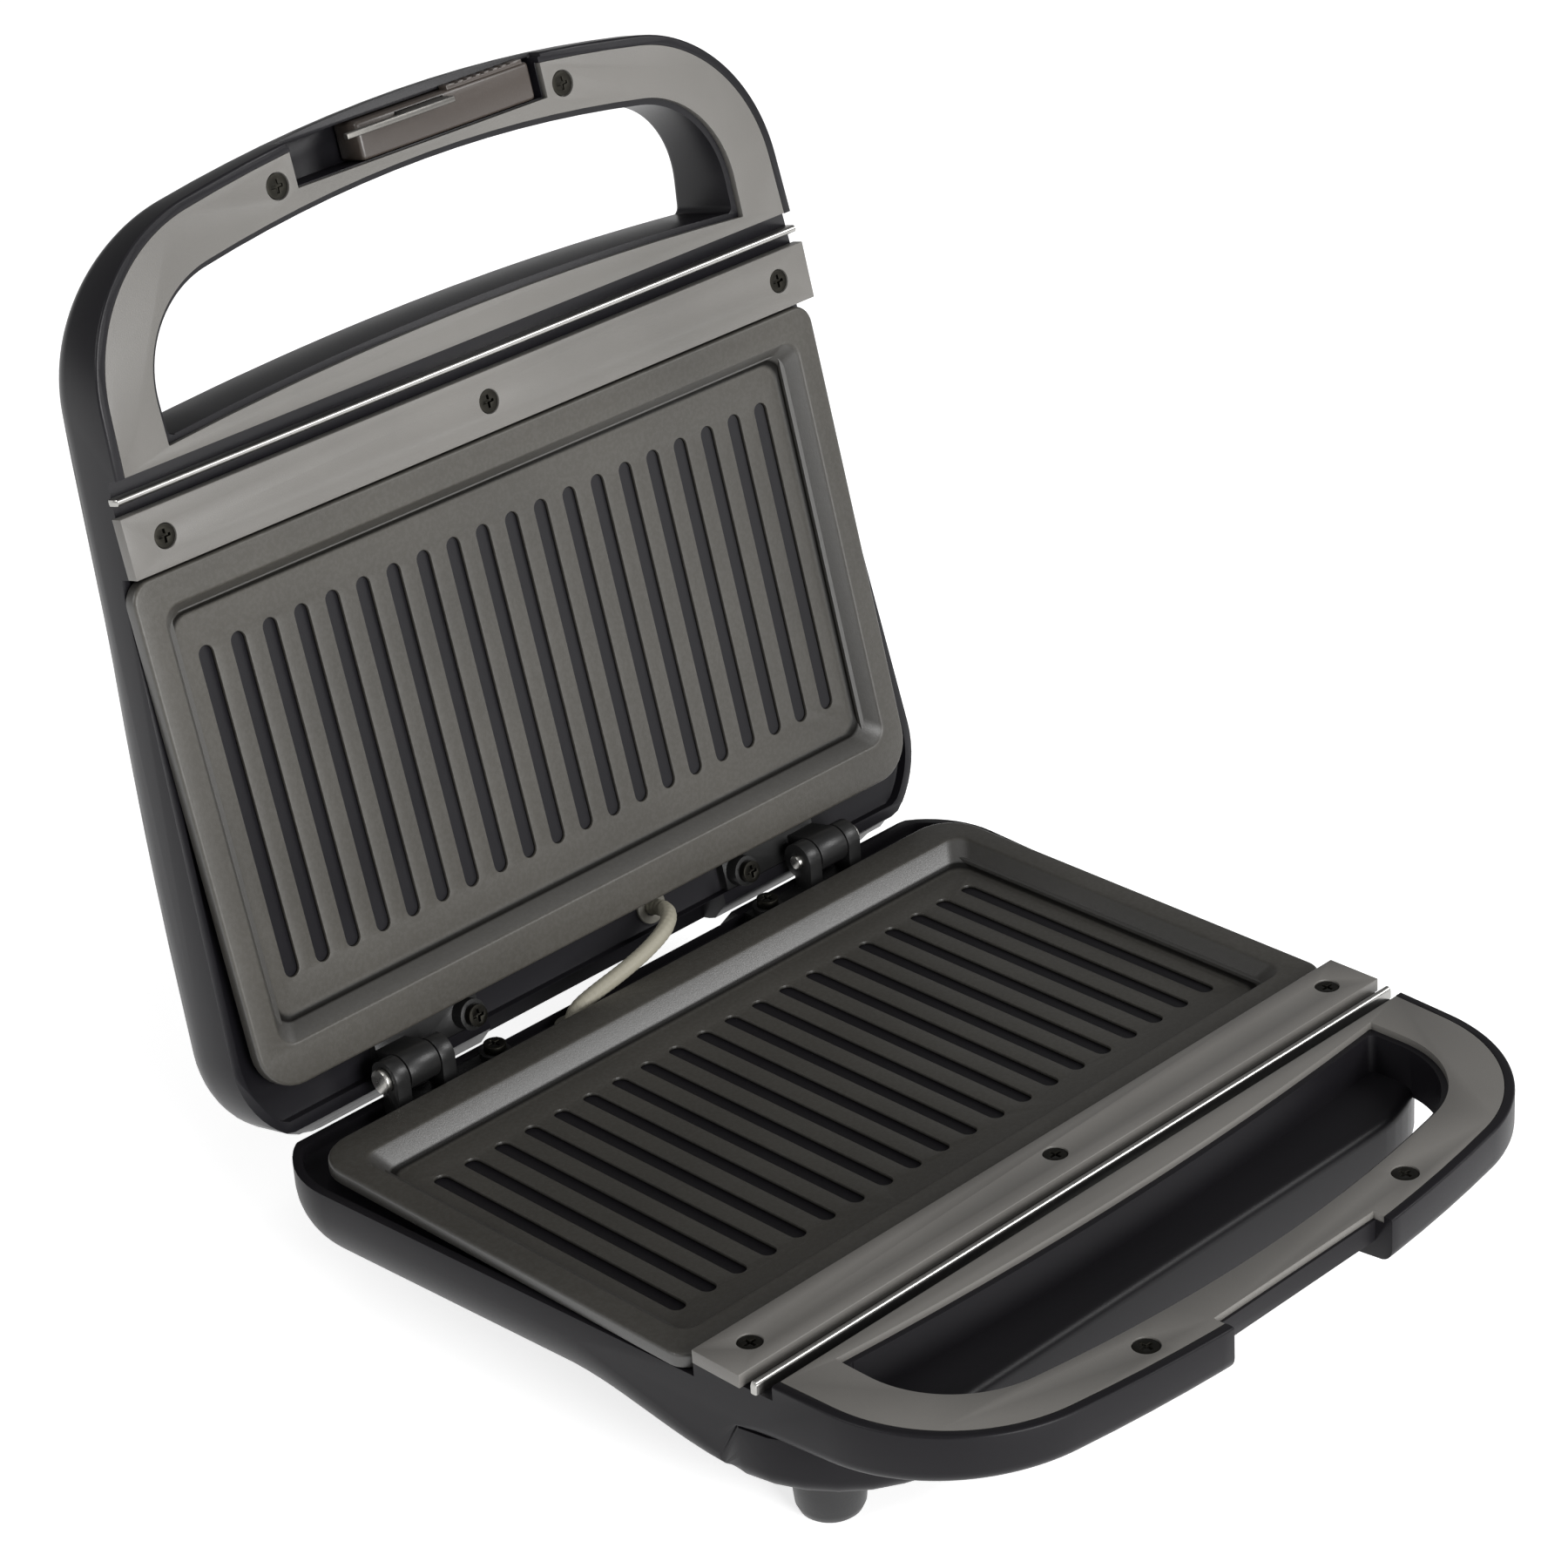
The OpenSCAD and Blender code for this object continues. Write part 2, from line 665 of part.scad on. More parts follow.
// base half of a hinge: a foot on the ledge and two ears round the pin
module hinge_ears() {
    difference() {
        union() {
            box(hinge_screw_x - 5, hinge_x + ear_x + ear_t / 2, ledge_rear + fit, plate_rear - 0.8,
                ledge - hinge_foot_t, ledge);
            for (s = [-1, 1]) translate([hinge_x + s * ear_x - ear_t / 2, 0, 0]) {
                rotate([0, 90, 0]) cylinder(r = ear_r, h = ear_t);
                box(0, ear_t, ledge_rear + fit, ear_r, 0, ledge - eps);
            }
            post(hinge_screw_x, hinge_screw_v, 6, ledge, hinge_boss_d);
        }
        translate([hinge_x, 0, 0]) rotate([0, 90, 0]) cylinder(d = pin_d + 0.02, h = 60, center = true);
        post(hinge_screw_x, hinge_screw_v, 0, ledge + 1, screw_d + 0.2);
    }
}

// lid half of a hinge: the tongue between the ears, with the raised boss of its screw
module hinge_tongue() {
    difference() {
        union() {
            box(hinge_screw_x - 5, hinge_x + tongue_w / 2, ledge_rear + fit, plate_rear - 0.8,
                ledge - hinge_foot_t, ledge);
            translate([hinge_x - tongue_w / 2, 0, 0]) {
                rotate([0, 90, 0]) cylinder(r = ear_r, h = tongue_w);
                box(0, tongue_w, ledge_rear + fit, ear_r, 0, ledge - eps);
            }
            post(hinge_screw_x, hinge_screw_v, 4, ledge, hinge_boss_d);
        }
        translate([hinge_x, 0, 0]) rotate([0, 90, 0])
            cylinder(d = pin_d + 2 * pin_fit, h = 60, center = true);
        post(hinge_screw_x, hinge_screw_v, 0, ledge + 1, screw_d + 0.2);
    }
}

module hinge_pin() {
    outer = ear_x + ear_t / 2;
    translate([hinge_x - outer - 1, 0, 0]) rotate([0, 90, 0]) cylinder(d = pin_d, h = 2 * outer + 1.5);
    translate([hinge_x + outer + 0.1, 0, 0]) rotate([0, 90, 0])
        cylinder(d = pin_head_d, h = pin_head_t);
}

module hinge_screws(top) {
    both_sides() screw(hinge_screw_x, hinge_screw_v, top, 16 - top);
}

module base_hinge_left() { color([0.1, 0.1, 0.1]) base_half() mirror([1, 0, 0]) hinge_ears(); }
module base_hinge_right() { color([0.1, 0.1, 0.1]) base_half() hinge_ears(); }
module lid_hinge_left() { color([0.14, 0.14, 0.14]) lid_half() mirror([1, 0, 0]) hinge_tongue(); }
module lid_hinge_right() { color([0.14, 0.14, 0.14]) lid_half() hinge_tongue(); }
module hinge_pin_left() { color([0.7, 0.7, 0.68]) base_half() mirror([1, 0, 0]) hinge_pin(); }
module hinge_pin_right() { color([0.7, 0.7, 0.68]) base_half() hinge_pin(); }
module base_hinge_screws() { color([0.3, 0.3, 0.3]) base_half() hinge_screws(6 - head_h); }
module lid_hinge_screws() { color([0.3, 0.3, 0.3]) lid_half() hinge_screws(4 - head_h); }

// ---------------------------------------------------------------- wiring across the hinge

bush_d = 8;
sleeve_d = 4.6;
sleeve_lid = [20, 4.4];
sleeve_base = [-24, 3.6];

// bush with a flange on top of the ledge
module sleeve_bush(p) {
    difference() {
        union() {
            post(p[0], p[1], ledge - 1.2, ledge, bush_d + 2);
            post(p[0], p[1], ledge, ledge + deck_t + 1.2, bush_d - 2 * fit);
        }
        post(p[0], p[1], 0, big, sleeve_d + 0.6);
    }
}
module base_sleeve_bush() { color([0.5, 0.49, 0.44]) base_half() sleeve_bush(sleeve_base); }
module lid_sleeve_bush() { color([0.5, 0.49, 0.44]) lid_half() sleeve_bush(sleeve_lid); }

// route of the sleeve with the lid open, as (x, y, z) from the hinge axis
sleeve_route = [
    [-24, -3.6, -12], [-24, -3.6, -9.6], [-23.2, -3.7, -7.4], [-21, -4, -5.6], [-17.5, -4.4, -4.2],
    [-13, -4.8, -2.9], [-8, -5.2, -1.6], [-3, -5.4, -0.3], [2, -5.3, 1], [7, -4.7, 2.3],
    [11.5, -3.4, 3.3], [15.2, -1.2, 3.9], [18, 1.8, 3.9], [19.6, 5.2, 3.3], [20, 8.8, 2.5],
    [20, 12, 1.7],
];

function unit(a) = a / norm(a);
// one ring of a tube round a point of the route
function ring(pts, i, r, n) =
    let (t = unit(pts[min(i + 1, len(pts) - 1)] - pts[max(i - 1, 0)]))
    let (side = unit(cross(t, [0.37, 0.61, 0.7])), up = cross(side, t))
    [for (k = [0:n - 1]) pts[i] + r * (cos(360 * k / n) * side + sin(360 * k / n) * up)];

module tube(pts, r, n) {
    last = len(pts) - 1;
    points = [for (i = [0:last]) for (p = ring(pts, i, r, n)) p];
    sides = [for (i = [0:last - 1], k = [0:n - 1])
        [i * n + k, i * n + (k + 1) % n, (i + 1) * n + (k + 1) % n, (i + 1) * n + k]];
    ends = [[for (k = [n - 1:-1:0]) k], [for (k = [0:n - 1]) last * n + k]];
    polyhedron(points, concat(sides, ends));
}
module wire_sleeve() {
    color([0.68, 0.66, 0.58]) translate([0, hinge_y, mate_z]) tube(sleeve_route, sleeve_d / 2, 10);
}

// ---------------------------------------------------------------- latch

// slider in the channel of the lid handle, with a grooved thumb rest over the low rim
hook_u = -16.5;
module latch_slider() {
    thumb = hook_u + hook_stem + 2;
    thumb_front = front_v - bow_drop(latch_rest_x + latch_w / 2) - 0.4;
    color([0.3, 0.27, 0.25]) lid_half() translate([latch_rest_x, 0, 0]) difference() {
        union() {
            box(-latch_w / 2, latch_w / 2, recess_rear + clear, latch_front, 0.6,
                recess_step - clear);
            box(thumb, latch_w / 2 - 2, latch_front - eps, thumb_front, 0.6, low_rim - clear);
        }
        for (u = [thumb + 3:3:latch_w / 2 - 4])
            box(u, u + 1.2, thumb_front - 0.8, big, -1, low_rim);
        box(hook_u - fit, hook_u + hook_stem + fit, hook_v - fit, hook_v + hook_t + fit, -1, low_rim);
    }
}

// steel hook set in the front of the slider: a stem and a toe that points to the left
module latch_hook() {
    color([0.55, 0.55, 0.53]) lid_half() translate([latch_rest_x, 0, 0]) {
        box(hook_u, hook_u + hook_stem, hook_v, hook_v + hook_t, -hook_drop, low_rim - clear);
        box(hook_u - hook_reach, hook_u + eps, hook_v, hook_v + hook_t, -hook_drop, -hook_toe);
    }
}

// ---------------------------------------------------------------- feet, gland, lamps

module foot(p) {
    both_sides() difference() {
        union() {
            translate([p[0], p[1], -(mate_z - 2)])
                cylinder(d1 = foot_d + 1.5, d2 = foot_top_d, h = foot_h - foot_leg - 2);
            translate([p[0], p[1], -mate_z]) cylinder(d1 = foot_d, d2 = foot_d + 1.5, h = 2 + eps);
        }
        post(p[0], p[1], base_d + foot_leg - 1, base_d + foot_leg + 6, screw_d);
        post(p[0], p[1], base_d + foot_leg + 5, mate_z + 1, 7.5);
    }
}
module front_feet() { color([0.06, 0.06, 0.06]) base_half() foot(feet_places[0]); }
module rear_feet() { color([0.06, 0.06, 0.06]) base_half() foot(feet_places[1]); }
module foot_screws() {
    color([0.6, 0.6, 0.6]) base_half() both_sides() for (p = feet_places) {
        post(p[0], p[1], base_d - wall - 0.5, base_d + foot_leg + 5, screw_d - 2 * fit);
        post(p[0], p[1], base_d + foot_leg + 5, base_d + foot_leg + 7, 6.4);
    }
}

gland_u = -60;
gland_d = 20.5;
inlet_d = 8;
module cord_gland() {
    color([0.1, 0.1, 0.1]) base_half() translate([gland_u, 0, -gland_d]) rotate([90, 0, 0]) difference() {
        union() {
            translate([0, 0, -rear_v]) cylinder(d = inlet_d + 2.6, h = 1.6);
            translate([0, 0, -rear_v - 5]) cylinder(d = inlet_d - 2 * fit, h = 5 + eps);
        }
        translate([0, 0, -rear_v - 6]) cylinder(d = inlet_d - 2.4, h = 12);
    }
}

lamp_x = 12;
lamp_v = 27;
lamp_d = 7;
module lamp_lens(u) {
    lid_half() {
        post(u, lamp_v, lid_d - wall - 0.5, lid_d + 0.7, lamp_d);
        post(u, lamp_v, lid_d - wall - 2, lid_d - wall - 0.2, lamp_d + 2);
    }
}
module lamp_lens_red() { color([0.75, 0.08, 0.06]) lamp_lens(-lamp_x); }
module lamp_lens_green() { color([0.1, 0.6, 0.15]) lamp_lens(lamp_x); }
module lamp_holder() {
    color([0.85, 0.85, 0.8]) lid_half() {
        box(-lamp_x - 7, lamp_x + 7, lamp_v - 5, lamp_v + 5, lid_d - wall - 8, lid_d - wall - 6.4);
        for (u = [-lamp_x, lamp_x]) post(u, lamp_v, lid_d - wall - 6.5, lid_d - wall - 2.2, 4);
    }
}

base_shell();
base_panel();
base_panel_screws();
base_bar();
base_bar_screws();
base_trim_strip();
base_plate();
base_heater();
base_reflector();
base_plate_screws();
front_feet();
rear_feet();
foot_screws();
thermostat();
thermal_fuse();
terminal_block();
cord_gland();
base_hinge_left();
base_hinge_right();
base_hinge_screws();
hinge_pin_left();
hinge_pin_right();
base_sleeve_bush();
lid_shell();
lid_panel();
lid_panel_screws();
lid_bar();
lid_bar_screws();
lid_trim_strip();
lid_plate();
lid_heater();
lid_reflector();
lid_plate_screws();
lid_hinge_left();
lid_hinge_right();
lid_hinge_screws();
lid_sleeve_bush();
lamp_lens_red();
lamp_lens_green();
lamp_holder();
wire_sleeve();
latch_slider();
latch_hook();
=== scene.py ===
import json
import math

import bpy
import bmesh
import numpy as np
from mathutils import Matrix, Vector


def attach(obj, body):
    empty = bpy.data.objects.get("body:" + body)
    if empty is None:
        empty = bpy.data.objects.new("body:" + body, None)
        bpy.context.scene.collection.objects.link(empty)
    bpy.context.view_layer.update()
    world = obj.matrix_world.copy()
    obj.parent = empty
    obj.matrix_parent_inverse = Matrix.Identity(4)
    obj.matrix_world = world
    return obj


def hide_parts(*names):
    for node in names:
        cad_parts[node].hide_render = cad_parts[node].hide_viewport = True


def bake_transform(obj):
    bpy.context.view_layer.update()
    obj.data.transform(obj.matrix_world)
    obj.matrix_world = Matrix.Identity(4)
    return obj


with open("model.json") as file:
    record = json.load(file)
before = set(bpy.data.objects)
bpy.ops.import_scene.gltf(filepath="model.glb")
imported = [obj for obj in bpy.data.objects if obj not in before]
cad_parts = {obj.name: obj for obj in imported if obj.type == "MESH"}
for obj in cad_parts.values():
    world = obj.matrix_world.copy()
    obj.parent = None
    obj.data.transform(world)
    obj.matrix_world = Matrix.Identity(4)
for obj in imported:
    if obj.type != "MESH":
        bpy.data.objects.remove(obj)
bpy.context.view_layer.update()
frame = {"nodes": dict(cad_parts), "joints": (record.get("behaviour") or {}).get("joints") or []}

# ---- Camera -------------------------------------------------------------------------------------
# A long lens from the front left and a little above, the way the open press is usually shown.
# It is held with a slight roll, as by hand.
aim = Vector((0.0186, 0.0392, 0.1100))
azimuth, elevation, roll = (math.radians(a) for a in (-43.08, 27.52, -3.76))
back = Vector((math.sin(azimuth) * math.cos(elevation), -math.cos(azimuth) * math.cos(elevation),
               math.sin(elevation)))
side = Vector((0, 0, 1)).cross(back).normalized()
over = back.cross(side)
tilted_side = math.cos(roll) * side + math.sin(roll) * over
tilted_over = math.cos(roll) * over - math.sin(roll) * side
camera = bpy.data.objects.new("camera", bpy.data.cameras.new("camera"))
bpy.context.collection.objects.link(camera)
camera.data.lens = 102.04
camera.data.sensor_width = 36
camera.matrix_world = Matrix.Translation(aim + 1.1644 * back) @ Matrix(
    (tilted_side, tilted_over, back)).transposed().to_4x4()
bpy.context.scene.camera = camera

# ---- Base housing -------------------------------------------------------------------------------
# The lower housing is one moulding in black plastic: a tub for the heater, a deck in front of the
# plate and a carrying loop. Its rear wall leans forward at the top to leave room for the lid.
# Both halves are drawn in (across, forward from the hinge, height above the meeting plane), in mm.
hinge = np.array(next(j["pos_m"] for j in frame["joints"] if j["name"] == "lid_hinge"))
LEAN = math.pi - math.radians(103)


def stand(points, half):
    """Places (u, v, w) millimetres. The base lies flat: y = -v, z = w. The lid is turned over about
    the hinge axis by a, what is left of a half turn: y = v cos a - w sin a, z = v sin a + w cos a."""
    p = np.asarray(points, float) / 1000
    if half == "base":
        return hinge + np.stack([p[..., 0], -p[..., 1], p[..., 2]], -1)
    return hinge + np.stack([p[..., 0], p[..., 1] * math.cos(LEAN) - p[..., 2] * math.sin(LEAN),
                             p[..., 1] * math.sin(LEAN) + p[..., 2] * math.cos(LEAN)], -1)


def add_mesh(name, points, faces, body, smooth=35):
    """An object at the origin from metre points and faces, its doubles merged, faces outward and
    edges sharper than the given angle kept crisp."""
    mesh = bpy.data.meshes.new(name)
    mesh.from_pydata(np.asarray(points).reshape(-1, 3).tolist(), [], faces)
    bm = bmesh.new()
    bm.from_mesh(mesh)
    bmesh.ops.remove_doubles(bm, verts=bm.verts, dist=2e-6)
    bmesh.ops.recalc_face_normals(bm, faces=bm.faces)
    bm.to_mesh(mesh)
    bm.free()
    mesh.shade_smooth()
    mesh.set_sharp_from_angle(angle=math.radians(smooth))
    piece = bpy.data.objects.new(name, mesh)
    bpy.context.collection.objects.link(piece)
    if body:
        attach(piece, body)
    return piece


def ring_faces(rows, columns, start=0):
    """Quads between neighbouring loops of a (rows, columns) grid whose columns close on
    themselves, and one face over the first and the last loop."""
    i = np.arange(rows - 1)[:, None]
    j = np.arange(columns)[None, :]
    beside = (j + 1) % columns
    quads = np.stack([i * columns + j, i * columns + beside, (i + 1) * columns + beside,
                      (i + 1) * columns + j], -1)
    faces = (quads.reshape(-1, 4) + start).tolist()
    faces.append((np.arange(columns)[::-1] + start).tolist())
    faces.append((np.arange(columns) + (rows - 1) * columns + start).tolist())
    return faces


def loft(name, rows, half, body):
    """A closed body from loops of (u, v, w) points, one row for each loop."""
    rows = np.asarray(rows, float)
    return add_mesh(name, stand(rows, half), ring_faces(*rows.shape[:2]), body)


def arc(cu, cv, r, a0, a1, n):
    """Points r (cos a, sin a) about a centre, and the same directions as normals."""
    a = np.radians(np.linspace(a0, a1, n))
    d = np.stack([np.cos(a), np.sin(a)], -1)
    return np.array([cu, cv]) + r * d, d


def both_ways(points, normals):
    """Mirrors the right half of a loop, rear centre to front centre, to close it on the left."""
    flip = np.array([-1, 1])
    return (np.concatenate([points, points[-2:0:-1] * flip]),
            np.concatenate([normals, normals[-2:0:-1] * flip]))


rear_centre, rear_r = np.array([97.0, 18.0]), 28.0
front_centre, front_r = np.array([69.5, 188.972]), 46.5
bow_centre, bow_r = np.array([0.0, -208.5]), 450.0
step = front_centre - rear_centre
tangent = math.degrees(math.atan2(step[1], step[0]) - math.acos((rear_r - front_r) / np.hypot(*step)))
bow_turn = math.degrees(math.acos(front_centre[0] / (bow_r - front_r)))


def outline():
    """Plan of a half: rear edge, rear corner arc, straight side, front corner arc, slightly bowed
    front edge. Returns the loop and its outward normals."""
    u = np.array([0, 10, 20, 30, 40, 43.9, 44.1, 50, 60, 70, 80, 90])
    rear = np.stack([u, np.full_like(u, rear_centre[1] - rear_r)], -1)
    corner, corner_n = arc(*rear_centre, rear_r, -90, tangent, 16)
    nose, nose_n = arc(*front_centre, front_r, tangent, bow_turn, 30)
    front, front_n = arc(*bow_centre, bow_r, bow_turn, 90, 8)
    t = np.linspace(0, 1, 30)[1:-1, None]
    side = corner[-1] * (1 - t) + nose[0] * t
    return both_ways(np.concatenate([rear, corner, side, nose, front[1:]]),
                     np.concatenate([np.tile([0, -1.0], (len(rear), 1)), corner_n,
                                     np.tile(corner_n[-1], (len(side), 1)), nose_n, front_n[1:]]))


def blend(x, a, b):
    """Smooth step: 0 below a, 1 above b, 3t^2 - 2t^3 between."""
    t = np.clip((x - a) / (b - a), 0, 1)
    return t * t * (3 - 2 * t)


def lean(rows):
    """Pulls the rear wall forward where it is nearer the meeting plane than the slanted line from
    (2, 0) to (-10, -14.5), so that the two rear walls clear each other when the lid is open."""
    rows[..., 1] = np.maximum(rows[..., 1], 2 - 12 / 14.5 * -rows[..., 2])
    return rows


LIP = 0.7
PLAN_MIDDLE = np.array([0, 90.0])


def lip_rows(points, normals):
    """The meeting face, from near the middle of the plan out to the rim, and the rim's small
    rounded edge: inset r (1 - sin a), depth r (1 - cos a)."""
    rows = []
    for s in (0.02, 0.5):
        rows.append(np.c_[PLAN_MIDDLE + (points - LIP * normals - PLAN_MIDDLE) * s,
                          np.zeros(len(points))])
    for a in np.radians([0, 30, 60, 90]):
        rows.append(np.c_[points - normals * LIP * (1 - math.sin(a)),
                          np.full(len(points), -LIP * (1 - math.cos(a)))])
    return rows


BASE_DEPTH, TOE_R, ARM_R = 33.0, 6.0, 4.0
TUB_CORNER, TUB_R, TUB_FRONT = np.array([77.6, 159.0]), 40.0, 199.0
STEP_DEPTH, STEP_R = 13.0, 3.0


def tub_front(u):
    """Front line of the tub: straight, with a round corner on each side."""
    reach = np.clip(np.abs(u) - TUB_CORNER[0], 0, TUB_R)
    return TUB_CORNER[1] + np.sqrt(TUB_R ** 2 - reach ** 2)


def tub_rows():
    """Base housing, loop by loop downwards. On the sides: wall, then a quarter round into the
    floor. In front: wall of the carrying loop, its rounded lower edge, its underside back to the
    tub, the tub's front wall with round corners, and a smaller round into the floor."""
    points, normals = outline()
    rows = lip_rows(points, normals)
    v, sign, run = points[:, 1], np.sign(points[:, 0] + 1e-9), np.abs(points[:, 0])
    front = v > TUB_CORNER[1]
    reach = 45
    turn = np.radians(90 * np.clip((v - TUB_CORNER[1]) / reach, 0, 1))
    half = slice(0, len(v) // 2)
    across = np.interp(run, [0, np.interp(TUB_CORNER[1] + reach, v[half], run[half])],
                       [0, TUB_CORNER[0]])
    low = np.where((turn < math.pi / 2 - 1e-6)[:, None],
                   np.stack([sign * (TUB_CORNER[0] + TUB_R * np.cos(turn)),
                             TUB_CORNER[1] + TUB_R * np.sin(turn)], -1),
                   np.stack([sign * across, np.full_like(v, TUB_FRONT)], -1))
    low_n = np.stack([np.cos(turn) * sign, np.sin(turn)], -1)
    low, low_n = np.where(front[:, None], low, points), np.where(front[:, None], low_n, normals)
    edge_r = (19 - 13 * blend(v, 100, TUB_CORNER[1]))[:, None]
    counts = [5, 6, 5, 5, 9]
    total, wall_share = sum(counts), 8
    stage_end = np.cumsum(counts)

    def arm(at):
        """Thickness of the carrying loop: 17 at the tub, falling evenly to 12.6 at the front."""
        return 17 - 4 * np.clip((at - 175) / 60, 0, 1.1)

    for k in range(1, total + 1):
        if k <= wall_share:
            side = np.c_[points, -(LIP + (BASE_DEPTH - edge_r[:, 0] - LIP) * k / wall_share)]
        else:
            a = math.radians(90 * (k - wall_share) / (total - wall_share))
            side = np.c_[points - normals * edge_r * (1 - math.cos(a)),
                         -(BASE_DEPTH - edge_r[:, 0] * (1 - math.sin(a)))]
        r = np.minimum(ARM_R, 0.8 * np.linalg.norm(points - low, axis=1))[:, None]
        if k <= stage_end[0]:
            nose = np.c_[points, -(LIP + (arm(v) - r[:, 0] - LIP) * k / counts[0])]
        elif k <= stage_end[1]:
            a = math.radians(90 * (k - stage_end[0]) / counts[1])
            nose = np.c_[points - normals * r * (1 - math.cos(a)),
                         -(arm(v) - r[:, 0] * (1 - math.sin(a)))]
        elif k <= stage_end[2]:
            f = (k - stage_end[1]) / counts[2]
            p = (points - normals * r) * (1 - f) + low * f
            nose = np.c_[p, -arm(p[:, 1])]
        elif k <= stage_end[3]:
            f = (k - stage_end[2]) / counts[3]
            nose = np.c_[low, -(arm(low[:, 1]) * (1 - f) + (BASE_DEPTH - TOE_R) * f)]
        else:
            a = math.radians(90 * (k - stage_end[3]) / counts[4])
            nose = np.c_[low - low_n * TOE_R * (1 - math.cos(a)),
                         np.full(len(v), -(BASE_DEPTH - TOE_R + TOE_R * math.sin(a)))]
        rows.append(np.where(front[:, None], nose, side))
    last = rows[-1][:, :2]
    for s in (0.97, 0.7, 0.4, 0.02):
        rows.append(np.c_[PLAN_MIDDLE + (last - PLAN_MIDDLE) * s, np.full(len(points), -BASE_DEPTH)])
    return lean(np.array(rows))


def prism(name, loop, d0, d1, half):
    """Straight-sided body between two depths under the meeting plane."""
    loop = np.asarray(loop, float)
    rows = [np.c_[loop, np.full(len(loop), -d)] for d in (d0, d1)]
    return loft(name, rows, half, None)


def block(name, u0, u1, v0, v1, d0, d1, half):
    """Box between two values across, two forward and two depths."""
    return prism(name, [(u0, v0), (u1, v0), (u1, v1), (u0, v1)], d0, d1, half)


def settle(piece):
    """Replaces the mesh of a piece by what its modifiers make of it."""
    bpy.context.view_layer.update()
    seen = piece.evaluated_get(bpy.context.evaluated_depsgraph_get())
    mesh = bpy.data.meshes.new_from_object(seen)
    piece.modifiers.clear()
    piece.data = mesh


def carve(piece, cutters):
    """Cuts each closed body out of the piece and removes it."""
    for cutter in cutters:
        cut = piece.modifiers.new("cut", "BOOLEAN")
        cut.operation, cut.solver, cut.object = "DIFFERENCE", "EXACT", cutter
        settle(piece)
        bpy.data.objects.remove(cutter)
    return piece


def soften(piece, width, angle=38, segments=2):
    """Rounds the edges left by the cuts, as a mould leaves them, by a width in mm, and keeps the
    faces between them smooth."""
    bm = bmesh.new()
    bm.from_mesh(piece.data)
    bmesh.ops.remove_doubles(bm, verts=bm.verts, dist=1e-5)
    bmesh.ops.dissolve_limit(bm, angle_limit=math.radians(0.4), verts=bm.verts, edges=bm.edges)
    bm.to_mesh(piece.data)
    bm.free()
    round_off = piece.modifiers.new("edges", "BEVEL")
    round_off.width, round_off.segments = width / 1000, segments
    round_off.limit_method, round_off.angle_limit = "ANGLE", math.radians(angle)
    round_off.harden_normals = False
    settle(piece)
    piece.data.shade_smooth()
    piece.data.set_sharp_from_angle(angle=math.radians(44))
    return piece


def inset_loop(inset, v_from):
    """The part of the plan in front of v_from, drawn in by an inset and cut straight across."""
    points, normals = outline()
    p = points - normals * inset
    first = int(np.argmax(p[:, 1] > v_from))
    f = (v_from - p[first - 1, 1]) / (p[first, 1] - p[first - 1, 1])
    cross = p[first - 1] * (1 - f) + p[first] * f
    return np.concatenate([[cross], p[p[:, 1] > v_from], [cross * np.array([-1, 1])]])


GRIP, GAP_REAR, GAP_HW = 18.5, 180.0, 97.5


def gap_loop(grow=0.0):
    """Plan of the finger gap: rear edge v = 180 + 4.5 (1 - (u / half width)^2), small rear corners,
    front corners and front edge that run along the outline, one grip width inside it."""
    r, c = front_r - GRIP + grow, max(2.0 - grow, 0.5)
    hw, rear_edge = GAP_HW + grow, GAP_REAR - grow
    u = np.linspace(0, hw - c, 14)
    rear = np.stack([u, rear_edge + 4.5 * (1 - (u / hw) ** 2)], -1)
    corner, corner_n = arc(hw - c, rear_edge + c, c, -88, 0, 6)
    nose, nose_n = arc(*front_centre, r, 0, bow_turn, 22)
    front, front_n = arc(*bow_centre, bow_r - GRIP + grow, bow_turn, 90, 8)
    return both_ways(np.concatenate([rear, corner, nose, front[1:]]),
                     np.concatenate([np.tile([0, -1.0], (len(rear), 1)), corner_n, nose_n,
                                     front_n[1:]]))


